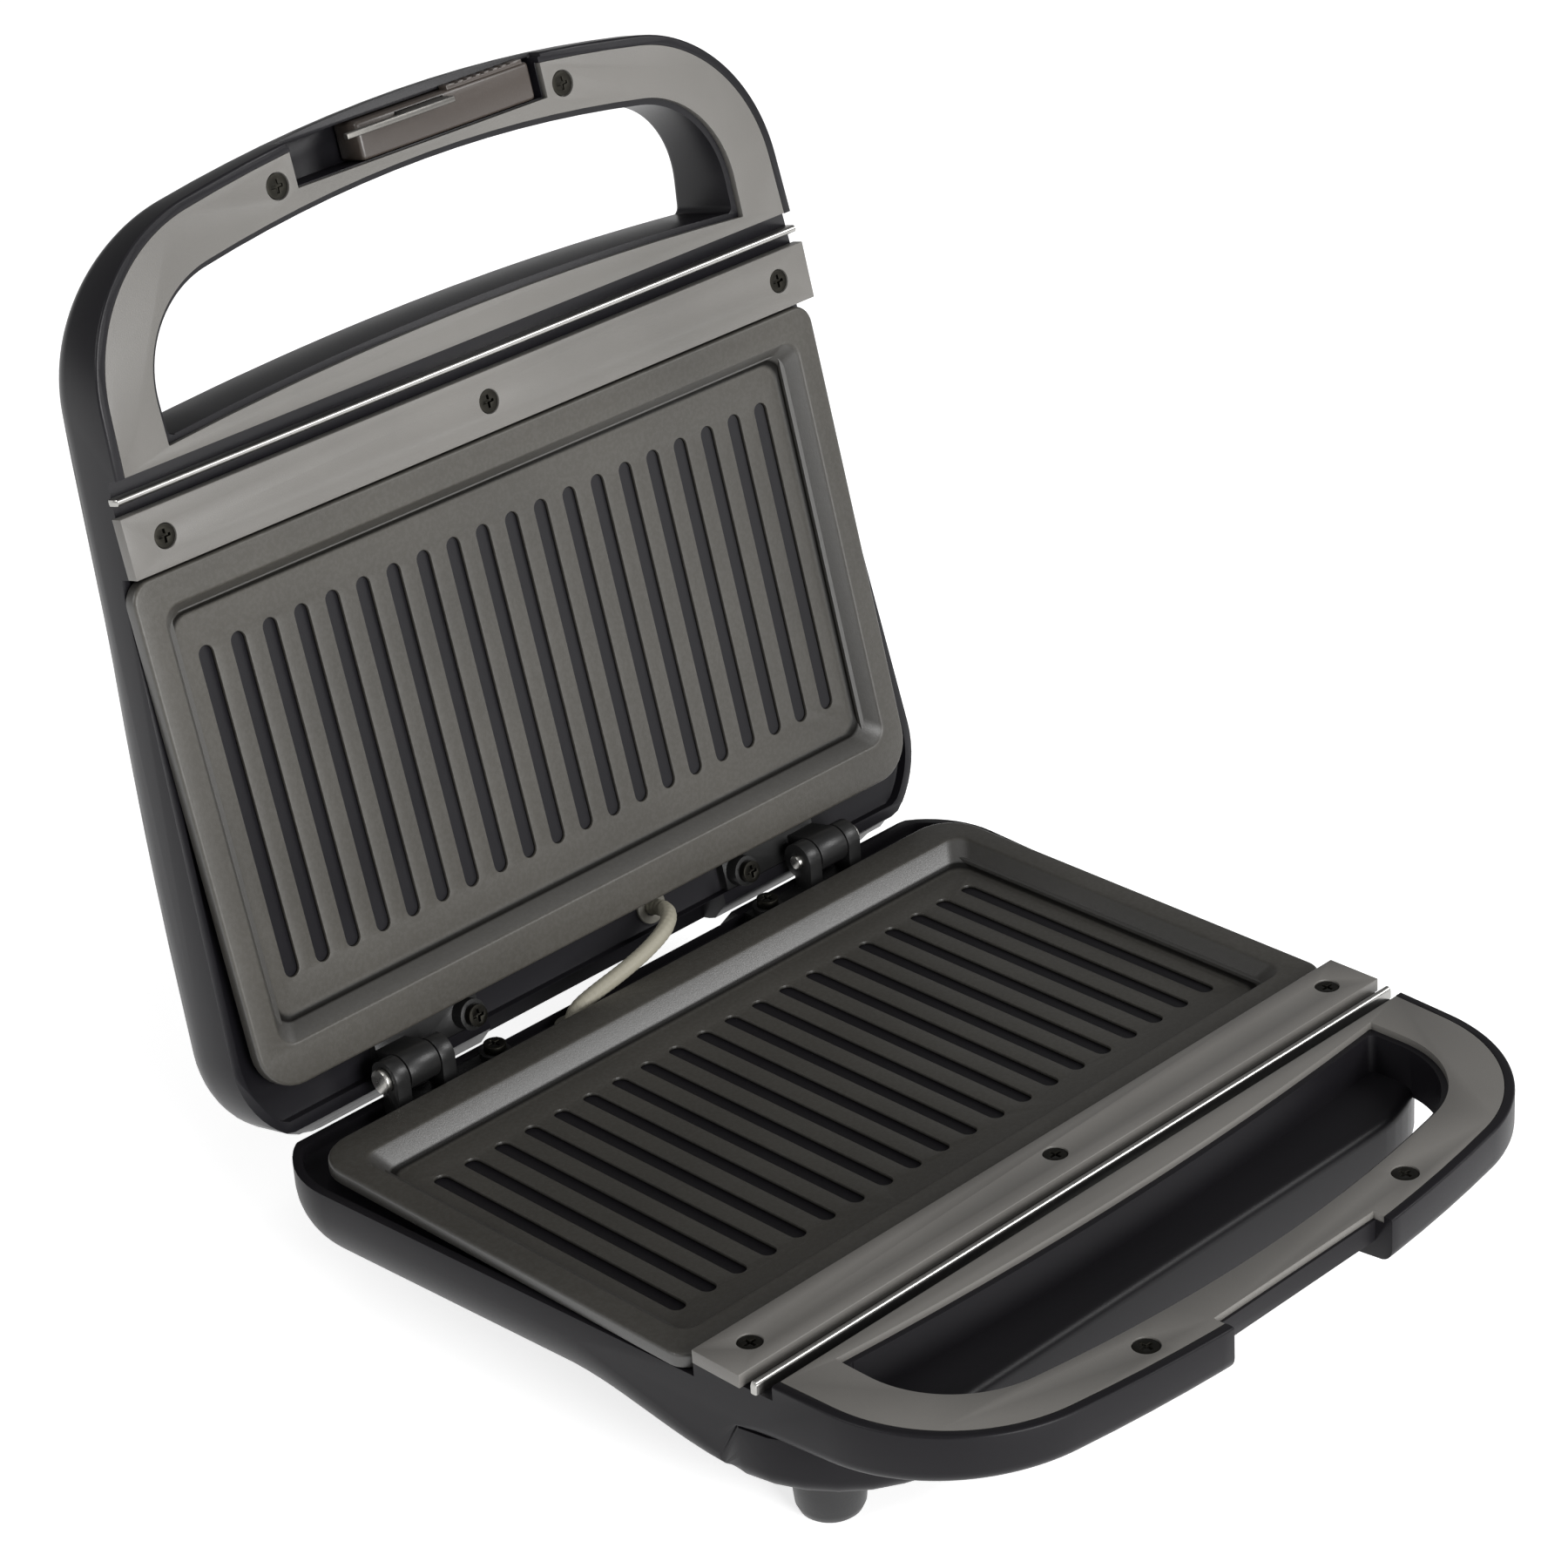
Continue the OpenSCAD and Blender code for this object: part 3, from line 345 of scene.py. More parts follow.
def moulded(name, colour, roughness, grain=2600, bump=0.02, coat=0.0, drift=0.12, gloss=0.5):
    """Moulded plastic: slow and fine noise on the colour, fine noise in roughness and relief."""
    m = bpy.data.materials.new(name)
    m.use_nodes = True
    nt = m.node_tree
    shader = nt.nodes["Principled BSDF"]
    where = nt.nodes.new("ShaderNodeTexCoord").outputs["Object"]

    def noise(scale, detail=3):
        n = nt.nodes.new("ShaderNodeTexNoise")
        n.inputs["Scale"].default_value, n.inputs["Detail"].default_value = scale, detail
        nt.links.new(where, n.inputs["Vector"])
        return n.outputs["Fac"]

    slow, fine = noise(14), noise(grain, 2)
    ramp = nt.nodes.new("ShaderNodeValToRGB")
    ramp.color_ramp.elements[0].position, ramp.color_ramp.elements[1].position = 0.3, 0.72
    ramp.color_ramp.elements[0].color = (*[c * (1 - drift) for c in colour], 1)
    ramp.color_ramp.elements[1].color = (*[min(1, c * (1 + drift)) for c in colour], 1)
    nt.links.new(slow, ramp.inputs["Fac"])
    nt.links.new(ramp.outputs["Color"], shader.inputs["Base Color"])
    rough = nt.nodes.new("ShaderNodeMapRange")
    rough.inputs["To Min"].default_value = roughness * 0.85
    rough.inputs["To Max"].default_value = min(1, roughness * 1.18)
    nt.links.new(fine, rough.inputs["Value"])
    nt.links.new(rough.outputs["Result"], shader.inputs["Roughness"])
    relief = nt.nodes.new("ShaderNodeBump")
    relief.inputs["Strength"].default_value = bump
    relief.inputs["Distance"].default_value = 0.0004
    nt.links.new(fine, relief.inputs["Height"])
    nt.links.new(relief.outputs["Normal"], shader.inputs["Normal"])
    shader.inputs["Coat Weight"].default_value = coat
    shader.inputs["Specular IOR Level"].default_value = gloss
    return m


def paint(piece, material):
    """Gives every face the one material."""
    piece.data.materials.clear()
    piece.data.materials.append(material)
    for f in piece.data.polygons:
        f.material_index = 0
    return piece


black_plastic = moulded("black_plastic", (0.006, 0.0055, 0.0068), 0.40, bump=0.05, gloss=0.16)


ABOVE, BELOW, FAR = -5, 60, 200
EDGE_DROP, DECK, LEDGE, PANEL_T = 8, 4, 11, 2
WALL, RIM_LINE, LEDGE_REAR = 2.5, 2.6, -1.5
CHANNEL_REAR, CHANNEL_FRONT = 149.3, 174.75


def gap_above_tub():
    """Cutter for the finger gap, less the tub below its step, whose front edge is a quarter round."""
    hw, behind = 112, 120
    u = np.linspace(-hw, hw, 57)
    rows = []
    for a in np.radians(np.linspace(0, 90, 7)):
        v = tub_front(u) - STEP_R + STEP_R * math.sin(a)
        rows.append(np.c_[np.r_[u, hw, -hw], np.r_[v, behind, behind],
                          np.full(len(u) + 2, -STEP_DEPTH - STEP_R * (1 - math.cos(a)))])
    rows.append(np.c_[rows[-1][:, :2], np.full(len(u) + 2, -BELOW - 10.0)])
    gap = prism("cut", gap_loop()[0], ABOVE, BELOW, "base")
    return carve(gap, [loft("cut", rows, "base", None)])


def shared_cuts(half, gap):
    """What is cut from both housings alike: the lowered edge beside the plate, the channel of the
    bar and the strip, the well under the plate, the seat of the handle panel, the finger gap and
    the hollow between the hinges."""
    points, normals = outline()
    well = points - normals * WALL
    well = np.stack([well[:, 0], np.clip(well[:, 1], LEDGE_REAR, CHANNEL_REAR - 0.1)], -1)
    return [
        block("cut", -FAR, FAR, -40, CHANNEL_REAR + 0.05, ABOVE, EDGE_DROP, half),
        block("cut", -FAR, FAR, CHANNEL_REAR, CHANNEL_FRONT, ABOVE, DECK, half),
        prism("cut", well, ABOVE, LEDGE, half),
        prism("cut", inset_loop(RIM_LINE, CHANNEL_FRONT - 0.45), ABOVE, PANEL_T, half),
        gap,
        block("cut", -44, 44, -11, LEDGE_REAR - 0.1, ABOVE, 19, half),
    ]


base_housing = loft("base_housing", tub_rows(), "base", "base")
NOTCH_HW, NOTCH_V, NOTCH_T = 29.5, 235.2, 8
carve(base_housing, shared_cuts("base", gap_above_tub()) + [
    block("cut", -NOTCH_HW, NOTCH_HW, NOTCH_V, 260, ABOVE, 40, "base"),
    block("cut", -NOTCH_HW, NOTCH_HW, 229.5, 260, NOTCH_T, 40, "base"),
    block("cut", -51.5, 0.1 - NOTCH_HW, NOTCH_V, 237.5, 1.8, 5.1, "base"),
])
soften(base_housing, 0.45)
paint(base_housing, black_plastic)
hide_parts("base_shell")

# ---- Feet ---------------------------------------------------------------------------------------
# Four tapered rubber feet, each held by a screw from below, under round pads of the base housing.
rubber = moulded("rubber", (0.009, 0.009, 0.0095), 0.42, grain=1800, bump=0.08)


def turned(name, place, profile, half, n=40):
    """A body of revolution about the w axis through place, from a profile of (radius, w)."""
    a = np.linspace(0, 2 * math.pi, n, endpoint=False)
    rows = [np.stack([place[0] + r * np.cos(a), place[1] + r * np.sin(a), np.full(n, w)], -1)
            for r, w in profile]
    return loft(name, rows, half, None)


def join(name, pieces):
    """One object of the base from several, each already in place."""
    mesh = bpy.data.meshes.new(name)
    bm = bmesh.new()
    for p in pieces:
        bm.from_mesh(p.data)
        bpy.data.objects.remove(p)
    bm.to_mesh(mesh)
    bm.free()
    mesh.set_sharp_from_angle(angle=math.radians(40))
    piece = bpy.data.objects.new(name, mesh)
    bpy.context.collection.objects.link(piece)
    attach(piece, "base")
    return piece


foot_profile = [(0.3, -44.0), (3.9, -44.0), (3.9, -49.4), (4.5, -50), (7.2, -50), (7.9, -49.4), (8.75, -47.5),
                (9.3, -42), (9.75, -37.5), (9.75, -36.2), (9.3, -36.0), (0.3, -36.0)]
foot_pad = [(0.3, -31.5), (9.95, -31.5), (9.95, -35.5), (9.7, -35.98), (0.3, -35.98)]
for pair, (u, v) in (("front_feet", (94, 168)), ("rear_feet", (72, 24))):
    feet = join(pair + "_rubber", [turned("foot", (s * u, v), foot_profile, "base") for s in (-1, 1)])
    paint(feet, rubber)
    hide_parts(pair)
    pads = join(pair + "_pads", [turned("pad", (s * u, v), foot_pad, "base") for s in (-1, 1)])
    paint(pads, black_plastic)

# ---- Lid housing --------------------------------------------------------------------------------
# The upper housing is one moulding too: a crowned cover with large round edges that falls away to
# the front, and the matching carrying loop with the channel of the latch.


def crown(v):
    """Depth of the cover at distance v: 38, less 8.5 ((v - 40) / 120)^2 in front of v = 40."""
    return 38 - 8.5 * (np.maximum(v - 40, 0) / 120) ** 2


def cover_rows():
    """Lid housing, loop by loop away from the meeting face: wall, then an elliptic quarter round
    that is larger at the rear and smaller at the front, then the crown towards the middle."""
    points, normals = outline()
    rows = lip_rows(points, normals)
    v = points[:, 1]
    side_r = 19 - 11.5 * blend(v, 120, 225)
    rear_reach, rear_rise = 24, 16
    aft = np.clip(-normals[:, 1], 0, 1)
    reach, rise = side_r + (rear_reach - side_r) * aft, side_r + (rear_rise - side_r) * aft
    for f in np.linspace(0, 1, 9)[1:]:
        rows.append(np.c_[points, -(LIP + (crown(v) - rise - LIP) * f)])
    for a in np.radians(np.linspace(0, 90, 13)[1:]):
        p = points - normals * (reach * (1 - math.cos(a)))[:, None]
        rows.append(np.c_[p, -(crown(p[:, 1]) - rise + rise * math.sin(a))])
    last = rows[-1][:, :2]
    for s in (0.95, 0.85, 0.72, 0.58, 0.44, 0.3, 0.16, 0.02):
        p = PLAN_MIDDLE + (last - PLAN_MIDDLE) * s
        rows.append(np.c_[p, -crown(p[:, 1])])
    return lean(np.array(rows))


def gap_through():
    """Cuts the finger gap through the lid; the far edge flares by a quarter round of 2.5."""
    points, normals = gap_loop()
    level, r = crown(points[:, 1]), 2.5
    rows = [np.c_[points, np.full(len(points), -float(ABOVE))]]
    for a in np.radians(np.linspace(0, 90, 7)):
        rows.append(np.c_[points + normals * r * (1 - math.cos(a)), -(level - r + r * math.sin(a))])
    rows.append(np.c_[rows[-1][:, :2], np.full(len(points), -float(BELOW))])
    return loft("cut", rows, "lid", None)


lid_housing = loft("lid_housing", cover_rows(), "lid", "lid")
carve(lid_housing, shared_cuts("lid", gap_through()) + [
    block("cut", -42, 42, 227.7, 238.6, ABOVE, 11, "lid"),
    block("cut", -43, 43, 238.3, 260, ABOVE, 4.3, "lid"),
])
soften(lid_housing, 0.5)
lid_plastic = moulded("lid_plastic", (0.0068, 0.0064, 0.0080), 0.34, bump=0.05, gloss=0.22)
paint(lid_housing, lid_plastic)
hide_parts("lid_shell")

# ---- Handle panels ------------------------------------------------------------------------------
# Thin silver-grey panels screwed on each carrying loop; a dark groove shows all round them.
silver = moulded("silver_plastic", (0.116, 0.111, 0.103), 0.42, grain=3200, bump=0.14, gloss=0.4)


def recess(u, v, r, d0, d1, half):
    """Round pocket between two depths."""
    return turned("cut", (u, v), [(0.05, -d0), (r, -d0), (r, -d1), (0.05, -d1)], half, 28)


PANEL_SCREW = (48.3, 229.65)
for half, latch_hw, latch_v in (("base", 29.8, 234.4), ("lid", 42.3, 227.4)):
    panel = prism(half + "_handle_panel", inset_loop(RIM_LINE + 0.15, CHANNEL_FRONT + 0.15), 0.0,
                  float(PANEL_T), half)
    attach(panel, half)
    carve(panel, [prism("cut", gap_loop(1.8)[0], ABOVE, 5, half),
                  block("cut", -latch_hw, latch_hw, latch_v, 260, ABOVE, 5, half)]
          + [recess(s * PANEL_SCREW[0], PANEL_SCREW[1], 3.6, -1, 1.4, half) for s in (-1, 1)])
    soften(panel, 0.5)
    paint(panel, silver)
    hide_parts(half + "_panel")

# ---- Clamp bars and bright strips ---------------------------------------------------------------
# A flat bar with three screws clamps each plate; a bright rod lies in the channel in front of it.
chrome = moulded("chrome", (0.36, 0.355, 0.34), 0.30, grain=900, bump=0.01, drift=0.05)
chrome.node_tree.nodes["Principled BSDF"].inputs["Metallic"].default_value = 1.0
BAR_HW, BAR_REAR, BAR_FRONT = 118.5, 149.5, 165.5
STRIP_HW, STRIP_V, STRIP_R = 118.0, 169.5, 1.0
for half in ("base", "lid"):
    bar = block(half + "_clamp_bar", -BAR_HW, BAR_HW, BAR_REAR, BAR_FRONT, 0.2, DECK, half)
    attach(bar, half)
    carve(bar, [recess(u, (BAR_REAR + BAR_FRONT) / 2, 3.3, -1, 2.8, half) for u in (-107, 0, 107)])
    soften(bar, 0.8)
    paint(bar, silver)
    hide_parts(half + "_bar")
    a = np.radians(np.linspace(180, 0, 13))
    over_axis = DECK - 1.6
    rod = np.concatenate([[[-STRIP_R, 0]],
                          np.stack([STRIP_R * np.cos(a), over_axis + STRIP_R * np.sin(a)], -1),
                          [[STRIP_R, 0]]])
    ends = [(STRIP_HW, 0.3), (STRIP_HW - 0.1, 0.8), (STRIP_HW - 0.5, 1.0)]
    strip = loft(half + "_bright_strip", [
        np.c_[np.full(len(rod), u), STRIP_V + rod[:, 0] * k, rod[:, 1] * k - DECK]
        for u, k in [(-u, k) for u, k in ends] + ends[::-1]], half, half)
    paint(strip, chrome)
    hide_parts(half + "_trim_strip")

# ---- Grill plates -------------------------------------------------------------------------------
# Cast aluminium with a dark non-stick coat: a flat rim, sloping sides and a ribbed floor. The ribs
# are what stands between twenty round-ended grooves.
PLATE_HW, PLATE_REAR, PLATE_FRONT, SKIRT = 119, 8, 148, 16.0
RIM_DROP, BASIN, GROOVES, PITCH = 3.7, 6.3, 20, 10.35


def tray_loop(hw, v0, v1, r_rear, r_front):
    """Rectangle with round corners, the same number of points at any size."""
    corners = [arc(hw - r_rear, v0 + r_rear, r_rear, -90, 0, 9)[0],
               arc(hw - r_front, v1 - r_front, r_front, 0, 90, 9)[0]]
    right = np.concatenate([[[hw * k, v0] for k in (0, 0.3, 0.6)], *corners,
                            [[hw * k, v1] for k in (0.6, 0.3, 0)]])
    return both_ways(right, right)[0]


def grill_plate(name, half):
    """Loops from the underside round the skirt and over the rim down to the floor: an inset and a
    depth for each; the grooves are then cut out of the floor."""
    outer = [(12.0, SKIRT), (12.0, 7.7), (0.3, 7.7), (0.0, 7.4), (0.0, 4.7)]
    outer += [(1.0 - math.cos(a), 4.7 - math.sin(a)) for a in np.radians([30, 60, 90])]
    rows = []
    for inset, d in outer:
        loop = tray_loop(PLATE_HW - inset, PLATE_REAR + inset, PLATE_FRONT - inset,
                         max(12 - inset, 3), max(6 - inset, 2))
        rows.append(np.c_[loop, np.full(len(loop), -d)])
    slope = [(-0.5, 0.0), (-0.1, 0.08), (0.25, 0.32), (4.1, BASIN - 1.0), (4.7, BASIN - 0.35),
             (5.6, BASIN - 0.06), (6.4, BASIN)]
    for inset, d in slope:
        loop = tray_loop(111.5 - inset, 19 + inset, 139.5 - inset, 5, 5)
        rows.append(np.c_[loop, np.full(len(loop), -(RIM_DROP + d))])
    centre = np.array([0, 79.0])
    for s in (0.8, 0.4, 0.02):
        rows.append(np.c_[centre + (rows[-1][:, :2] - centre) * s,
                          np.full(len(rows[-1]), -(RIM_DROP + BASIN))])
    plate = loft(name, rows, half, half)
    section = [(9.0, 2.4), (9.95, 2.4), (10.9, 2.25), (12.2, 1.75), (12.85, 1.1), (13.0, 0.5)]
    points, faces = [], []
    for k in range(GROOVES):
        u = (k - (GROOVES - 1) / 2) * PITCH
        for d, hw in section:
            loop = np.concatenate([arc(u, 122.4, hw, 0, 180, 9)[0], arc(u, 35.7, hw, 180, 360, 9)[0]])
            points.append(np.c_[loop, np.full(len(loop), -d)])
        faces += ring_faces(len(section), 18, start=k * len(section) * 18)
    carve(plate, [add_mesh("cut", stand(np.concatenate(points), half), faces, None)])
    soften(plate, 0.35, segments=2)
    return plate


def note_depth(piece, half):
    """Point attribute with each point's depth under the meeting plane, in mm, from which the coating paints
    its shade and sets its specular level.
    """
    co = np.empty(len(piece.data.vertices) * 3)
    piece.data.vertices.foreach_get("co", co)
    p = (co.reshape(-1, 3) - hinge) * 1000
    depth = -p[:, 2] if half == "base" else p[:, 1] * math.sin(LEAN) - p[:, 2] * math.cos(LEAN)
    piece.data.attributes.new("depth_mm", "FLOAT", "POINT").data.foreach_set("value", depth)


def coating(name, colour, roughness):
    """Sprayed non-stick coat: fine speckle and slow cloudiness all over. The slopes, the gutter at their foot
    and the grooves, told apart by their depth, are painted darker, down to almost black in the grooves:
    painted shade where the plate's hollows fall into shadow. The specular level follows the same depths:
    raised on the slopes, cut in the gutter and the grooves."""
    m = moulded(name, colour, roughness, grain=2600, bump=0.10, drift=0.16, gloss=0.4)
    nt = m.node_tree
    shader = nt.nodes["Principled BSDF"]
    cloudy_tone = shader.inputs["Base Color"].links[0].from_socket
    speck = nt.nodes.new("ShaderNodeTexNoise")
    speck.inputs["Scale"].default_value = 900
    nt.links.new(nt.nodes["Texture Coordinate"].outputs["Object"], speck.inputs["Vector"])
    speckle = nt.nodes.new("ShaderNodeValToRGB")
    speckle.color_ramp.elements[0].position, speckle.color_ramp.elements[1].position = 0.42, 0.62
    speckle.color_ramp.elements[0].color = (0.72, 0.70, 0.66, 1)
    nt.links.new(speck.outputs["Fac"], speckle.inputs["Fac"])
    depth = nt.nodes.new("ShaderNodeAttribute")
    depth.attribute_name = "depth_mm"
    level = nt.nodes.new("ShaderNodeMapRange")
    deepest = 15.0
    level.inputs["From Max"].default_value = deepest
    nt.links.new(depth.outputs["Fac"], level.inputs["Value"])

    def by_depth(stops):
        """A grey that changes with the depth, from (depth in mm, value) stops."""
        ramp = nt.nodes.new("ShaderNodeValToRGB")
        for k, (mm, value) in enumerate(stops):
            at = mm / deepest
            e = ramp.color_ramp.elements[k] if k < 2 else ramp.color_ramp.elements.new(at)
            e.position, e.color = at, (value, value, value, 1)
        nt.links.new(level.outputs["Result"], ramp.inputs["Fac"])
        return ramp.outputs["Color"]

    def times(fac, a, b):
        mix = nt.nodes.new("ShaderNodeMixRGB")
        mix.blend_type = "MULTIPLY"
        mix.inputs["Fac"].default_value = fac
        nt.links.new(a, mix.inputs["Color1"])
        nt.links.new(b, mix.inputs["Color2"])
        return mix.outputs["Color"]

    speckled_tone = times(0.5, cloudy_tone, speckle.outputs["Color"])
    # Painted shade: the colour is about halved on the slopes, cut to an eighth in the gutter and to nearly
    # black in the grooves, where shade falls.
    shade = by_depth([(3.9, 1.0), (4.5, 0.6), (8.4, 0.5), (8.9, 0.12), (9.7, 0.12), (9.96, 1.0),
                      (10.2, 1.0), (10.9, 0.04)])
    nt.links.new(times(1.0, speckled_tone, shade), shader.inputs["Base Color"])
    sheen = by_depth([(3.9, 0.4), (4.5, 0.9), (8.4, 0.9), (8.9, 0.1), (9.7, 0.1), (9.96, 0.4),
                      (10.2, 0.4), (10.9, 0.0)])
    nt.links.new(sheen, shader.inputs["Specular IOR Level"])
    return m


# Both plates are the same casting with the same coat. The lid's colour is made lighter than the base's as
# painted light, for the stronger light that falls on the standing lid's face.
for half, colour, slot in (("base", (0.036, 0.034, 0.030), "nonstick_dark"),
                           ("lid", (0.050, 0.047, 0.041), "nonstick_grey")):
    plate = grill_plate(half + "_grill_plate", half)
    note_depth(plate, half)
    paint(plate, coating(half + "_coating", colour, 0.42))
    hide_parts(half + "_plate")

# ---- Latch --------------------------------------------------------------------------------------
# A brown-black plastic slider in the lid's channel, with a slot for the hook's stem, and a grooved
# thumb rest on its front.
latch_slider = block("latch_thumb_slider", -20.0, 39.0, 228.0, 238.2, 0.6, 10.6, "lid")
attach(latch_slider, "latch")
soften(latch_slider, 1.1, segments=3)
carve(latch_slider, [block("cut", -7.2, 9.2, 235.3, 237.3, -1, 4.3, "lid")])
latch_slider.data.set_sharp_from_angle(angle=math.radians(44))
latch_brown = moulded("latch_plastic", (0.040, 0.032, 0.027), 0.34, grain=1500, bump=0.06)
paint(latch_slider, latch_brown)
thumb = block("latch_thumb_rest", 11.0, 37.0, 238.0, 239.3, 0.6, 4.0, "lid")
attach(thumb, "latch")
carve(thumb, [block("cut", u, u + 1.2, 238.9, 241, -1, 4.2, "lid") for u in np.arange(14.0, 35.0, 3.0)])
soften(thumb, 0.25)
paint(thumb, latch_brown)
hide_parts("latch_slider")

# ---- Wiring sleeve ------------------------------------------------------------------------------
# A braided glass-fibre sleeve carries the lid heater's wires across the hinge, from a bush in the
# base ledge to one in the lid ledge.
route = np.array([
    [-24, -3.6, -12], [-24, -3.6, -9.6], [-23.2, -3.7, -7.4], [-21, -4, -5.6], [-17.5, -4.4, -4.2],
    [-13, -4.8, -2.9], [-8, -5.2, -1.6], [-3, -5.4, -0.3], [2, -5.3, 1], [7, -4.7, 2.3],
    [11.5, -3.4, 3.3], [15.2, -1.2, 3.9], [18, 1.8, 3.9], [19.6, 5.2, 3.3], [20, 8.8, 2.5],
    [20, 12, 1.7]]) / 1000 + hinge


def smooth_route(points, per):
    """Catmull-Rom curve through the points, with so many steps from each to the next."""
    p = np.concatenate([[2 * points[0] - points[1]], points, [2 * points[-1] - points[-2]]])
    t = np.linspace(0, 1, per, endpoint=False)[None, :, None]
    a, b, c, d = (p[k:len(p) - 3 + k][:, None] for k in range(4))
    q = 0.5 * (2 * b + (c - a) * t + (2 * a - 5 * b + 4 * c - d) * t ** 2
               + (3 * b - a - 3 * c + d) * t ** 3)
    return np.concatenate([q.reshape(-1, 3), points[-1:]])


def tube(name, path, radius, n, ripple, pitch):
    """Tube round a path: rings square to it, their radius rippling with the braid as
    sin(4 a + 2 pi s / pitch) sin(4 a - 2 pi s / pitch), a round the tube and s along it."""
    t = np.gradient(path, axis=0)
    t /= np.linalg.norm(t, axis=1)[:, None]
    s = np.cross(t, [0.37, 0.61, 0.7])
    s /= np.linalg.norm(s, axis=1)[:, None]
    o = np.cross(s, t)
    along = np.concatenate([[0], np.cumsum(np.linalg.norm(np.diff(path, axis=0), axis=1))])
    a = np.linspace(0, 2 * math.pi, n, endpoint=False)
    twist = 2 * math.pi * along[:, None] / pitch
    wave = np.sin(4 * a[None] + twist) * np.sin(4 * a[None] - twist)
    r = radius * (1 - ripple + ripple * wave)
    rings = path[:, None] + r[..., None] * (np.cos(a)[None, :, None] * s[:, None]
                                            + np.sin(a)[None, :, None] * o[:, None])
    return add_mesh(name, rings, ring_faces(len(path), n), None, smooth=80)


sleeve = tube("wiring_sleeve", smooth_route(route, 14), 0.0023, 28, ripple=0.035, pitch=0.0036)
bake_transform(sleeve)
braid = moulded("braided_glass", (0.20, 0.188, 0.147), 0.62, grain=2400, bump=0.25, drift=0.22)
paint(sleeve, braid)
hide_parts("wire_sleeve")

# ---- Hinges, screws and small fittings ----------------------------------------------------------
# Pressed and turned parts: black steel brackets on bright pins, blackened cross-head screws, grey
# bushes, the cord gland and the two lamps. Their edges get the small radius of a real part.


def finished(node, width, material, body):
    """A copy of a CAD piece with its corners merged and its edges rounded by a bevel."""
    mesh = frame["nodes"][node].data.copy()
    piece = bpy.data.objects.new(node + "_finished", mesh)
    bpy.context.collection.objects.link(piece)
    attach(piece, body)
    bm = bmesh.new()
    bm.from_mesh(mesh)
    bmesh.ops.remove_doubles(bm, verts=bm.verts, dist=1e-6)
    bm.to_mesh(mesh)
    bm.free()
    soften(piece, width, angle=32)
    paint(piece, material)
    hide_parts(node)


def metal(name, colour, roughness, grain=700):
    m = moulded(name, colour, roughness, grain=grain, bump=0.06, drift=0.10)
    m.node_tree.nodes["Principled BSDF"].inputs["Metallic"].default_value = 1.0
    return m


black_steel = moulded("black_steel", (0.008, 0.008, 0.008), 0.36, bump=0.08, gloss=0.4)
bright_steel = metal("bright_steel", (0.56, 0.55, 0.52), 0.28)
dark_screw = metal("blackened_steel", (0.020, 0.019, 0.016), 0.45)
grey_plastic = moulded("grey_plastic", (0.10, 0.095, 0.08), 0.5, bump=0.06)
for side_name in ("left", "right"):
    finished("base_hinge_" + side_name, 0.35, black_steel, "base")
    finished("lid_hinge_" + side_name, 0.35, black_steel, "lid")
    finished("hinge_pin_" + side_name, 0.3, bright_steel, "base")
for half in ("base", "lid"):
    for node in ("_hinge_screws", "_bar_screws", "_panel_screws"):
        finished(half + node, 0.14, dark_screw, half)
    finished(half + "_sleeve_bush", 0.3, grey_plastic, half)
finished("latch_hook", 0.25, metal("hook_steel", (0.16, 0.155, 0.145), 0.38), "latch")
finished("cord_gland", 0.4, black_plastic, "base")


def lens(name, colour):
    """Clear tinted plastic over a lamp."""
    m = moulded(name, colour, 0.12, bump=0.0, coat=0.6, drift=0.05)
    m.node_tree.nodes["Principled BSDF"].inputs["Transmission Weight"].default_value = 0.35
    return m


finished("lamp_lens_red", 0.5, lens("red_lens", (0.55, 0.03, 0.02)), "lid")
finished("lamp_lens_green", 0.5, lens("green_lens", (0.05, 0.42, 0.10)), "lid")
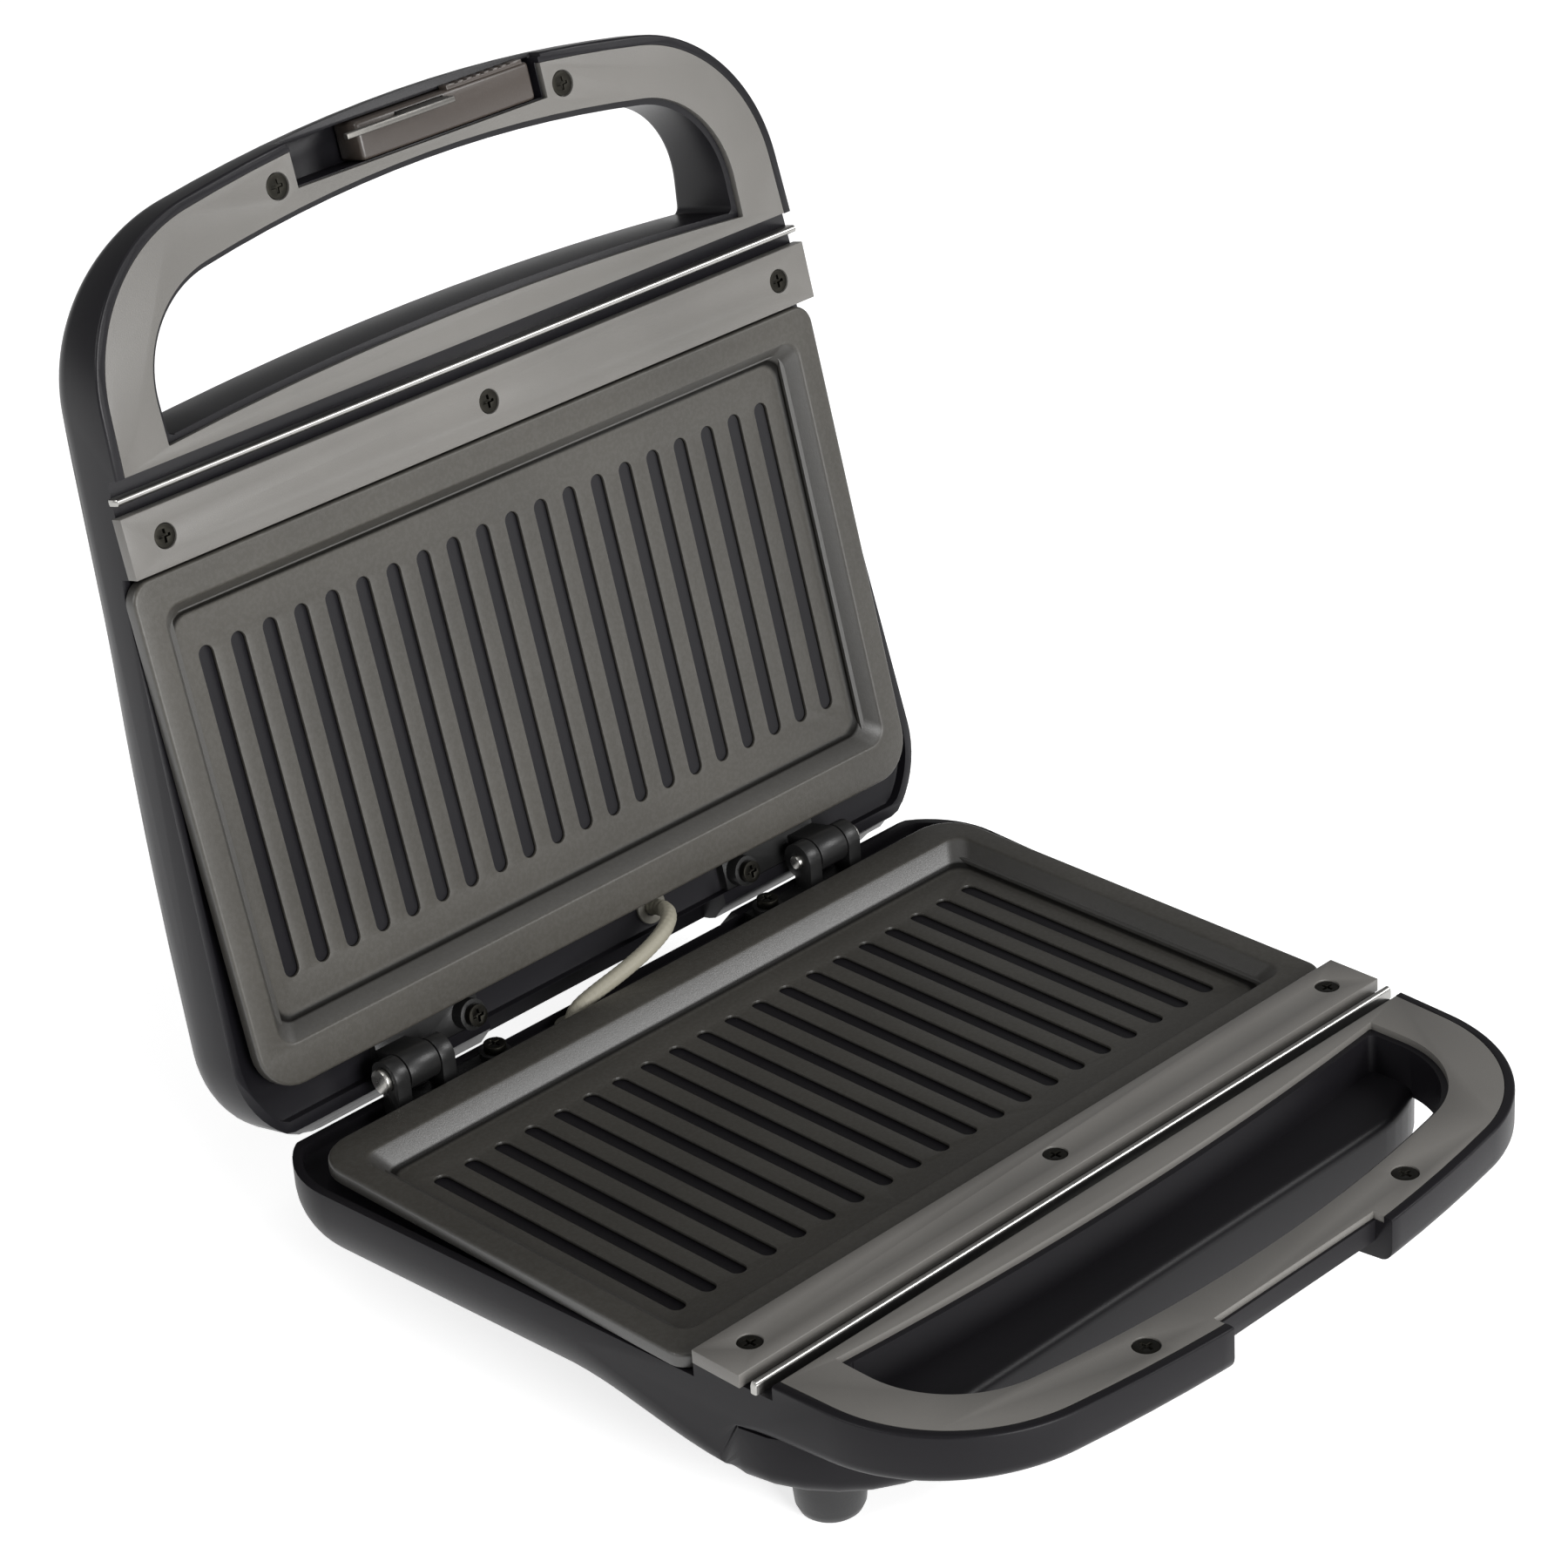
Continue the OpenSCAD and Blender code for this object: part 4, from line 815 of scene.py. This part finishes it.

# ---- Inside parts -------------------------------------------------------------------------------
# Heaters, reflectors, thermostat, fuse, terminal block and lamp holder stay as they are; they get
# their own metal and plastic finishes.
inside = {
    metal("heater_steel", (0.26, 0.25, 0.23), 0.5): ("base_heater", "lid_heater"),
    bright_steel: ("base_reflector", "lid_reflector", "base_plate_screws", "lid_plate_screws",
                   "foot_screws", "thermostat", "thermal_fuse"),
    moulded("white_plastic", (0.68, 0.66, 0.60), 0.5): ("terminal_block", "lamp_holder"),
}
for finish, names in inside.items():
    for node in names:
        for k in range(len(frame["nodes"][node].material_slots)):
            frame["nodes"][node].material_slots[k].material = finish

# ---- Floor and lights ---------------------------------------------------------------------------
# A plain pale sweep and soft studio light: a large soft box in front, weaker ones on the right,
# above and on the left.
corners = [(-30, -30, 0), (30, -30, 0), (30, 30, 0), (-30, 30, 0)]
floor = add_mesh("floor", corners, [(0, 1, 2, 3)], None)
sweep = moulded("sweep", (0.86, 0.86, 0.86), 0.9, grain=30, bump=0.0, drift=0.004, gloss=0.1)
sweep.node_tree.nodes["Principled BSDF"].inputs["Emission Color"].default_value = (1, 1, 1, 1)
sweep.node_tree.nodes["Principled BSDF"].inputs["Emission Strength"].default_value = 0.62
paint(floor, sweep)


def soft_box(name, direction, distance, size, power):
    """A square area light that faces the press from a direction."""
    lamp = bpy.data.objects.new(name, bpy.data.lights.new(name, "AREA"))
    bpy.context.collection.objects.link(lamp)
    lamp.data.shape, lamp.data.size, lamp.data.energy = "SQUARE", size, power
    d = Vector(direction).normalized()
    lamp.matrix_world = Matrix.Translation(Vector((0, 0, 0.12)) + distance * d) @ d.to_track_quat(
        "Z", "Y").to_matrix().to_4x4()


soft_box("key", (-0.15, -1.0, 0.24), 2.2, 1.2, 58)
soft_box("right", (0.61, -0.59, 0.53), 2.0, 0.7, 17)
soft_box("top", (-0.1, 0.1, 1.0), 2.4, 1.6, 6)
soft_box("left", (-1.0, 0.25, 0.55), 2.2, 0.8, 14)
world = bpy.data.worlds.new("studio")
bpy.context.scene.world = world
world.use_nodes = True
world.node_tree.nodes["Background"].inputs["Color"].default_value = (1, 1, 1, 1)
world.node_tree.nodes["Background"].inputs["Strength"].default_value = 0.26
bpy.context.scene.view_settings.view_transform = "Standard"
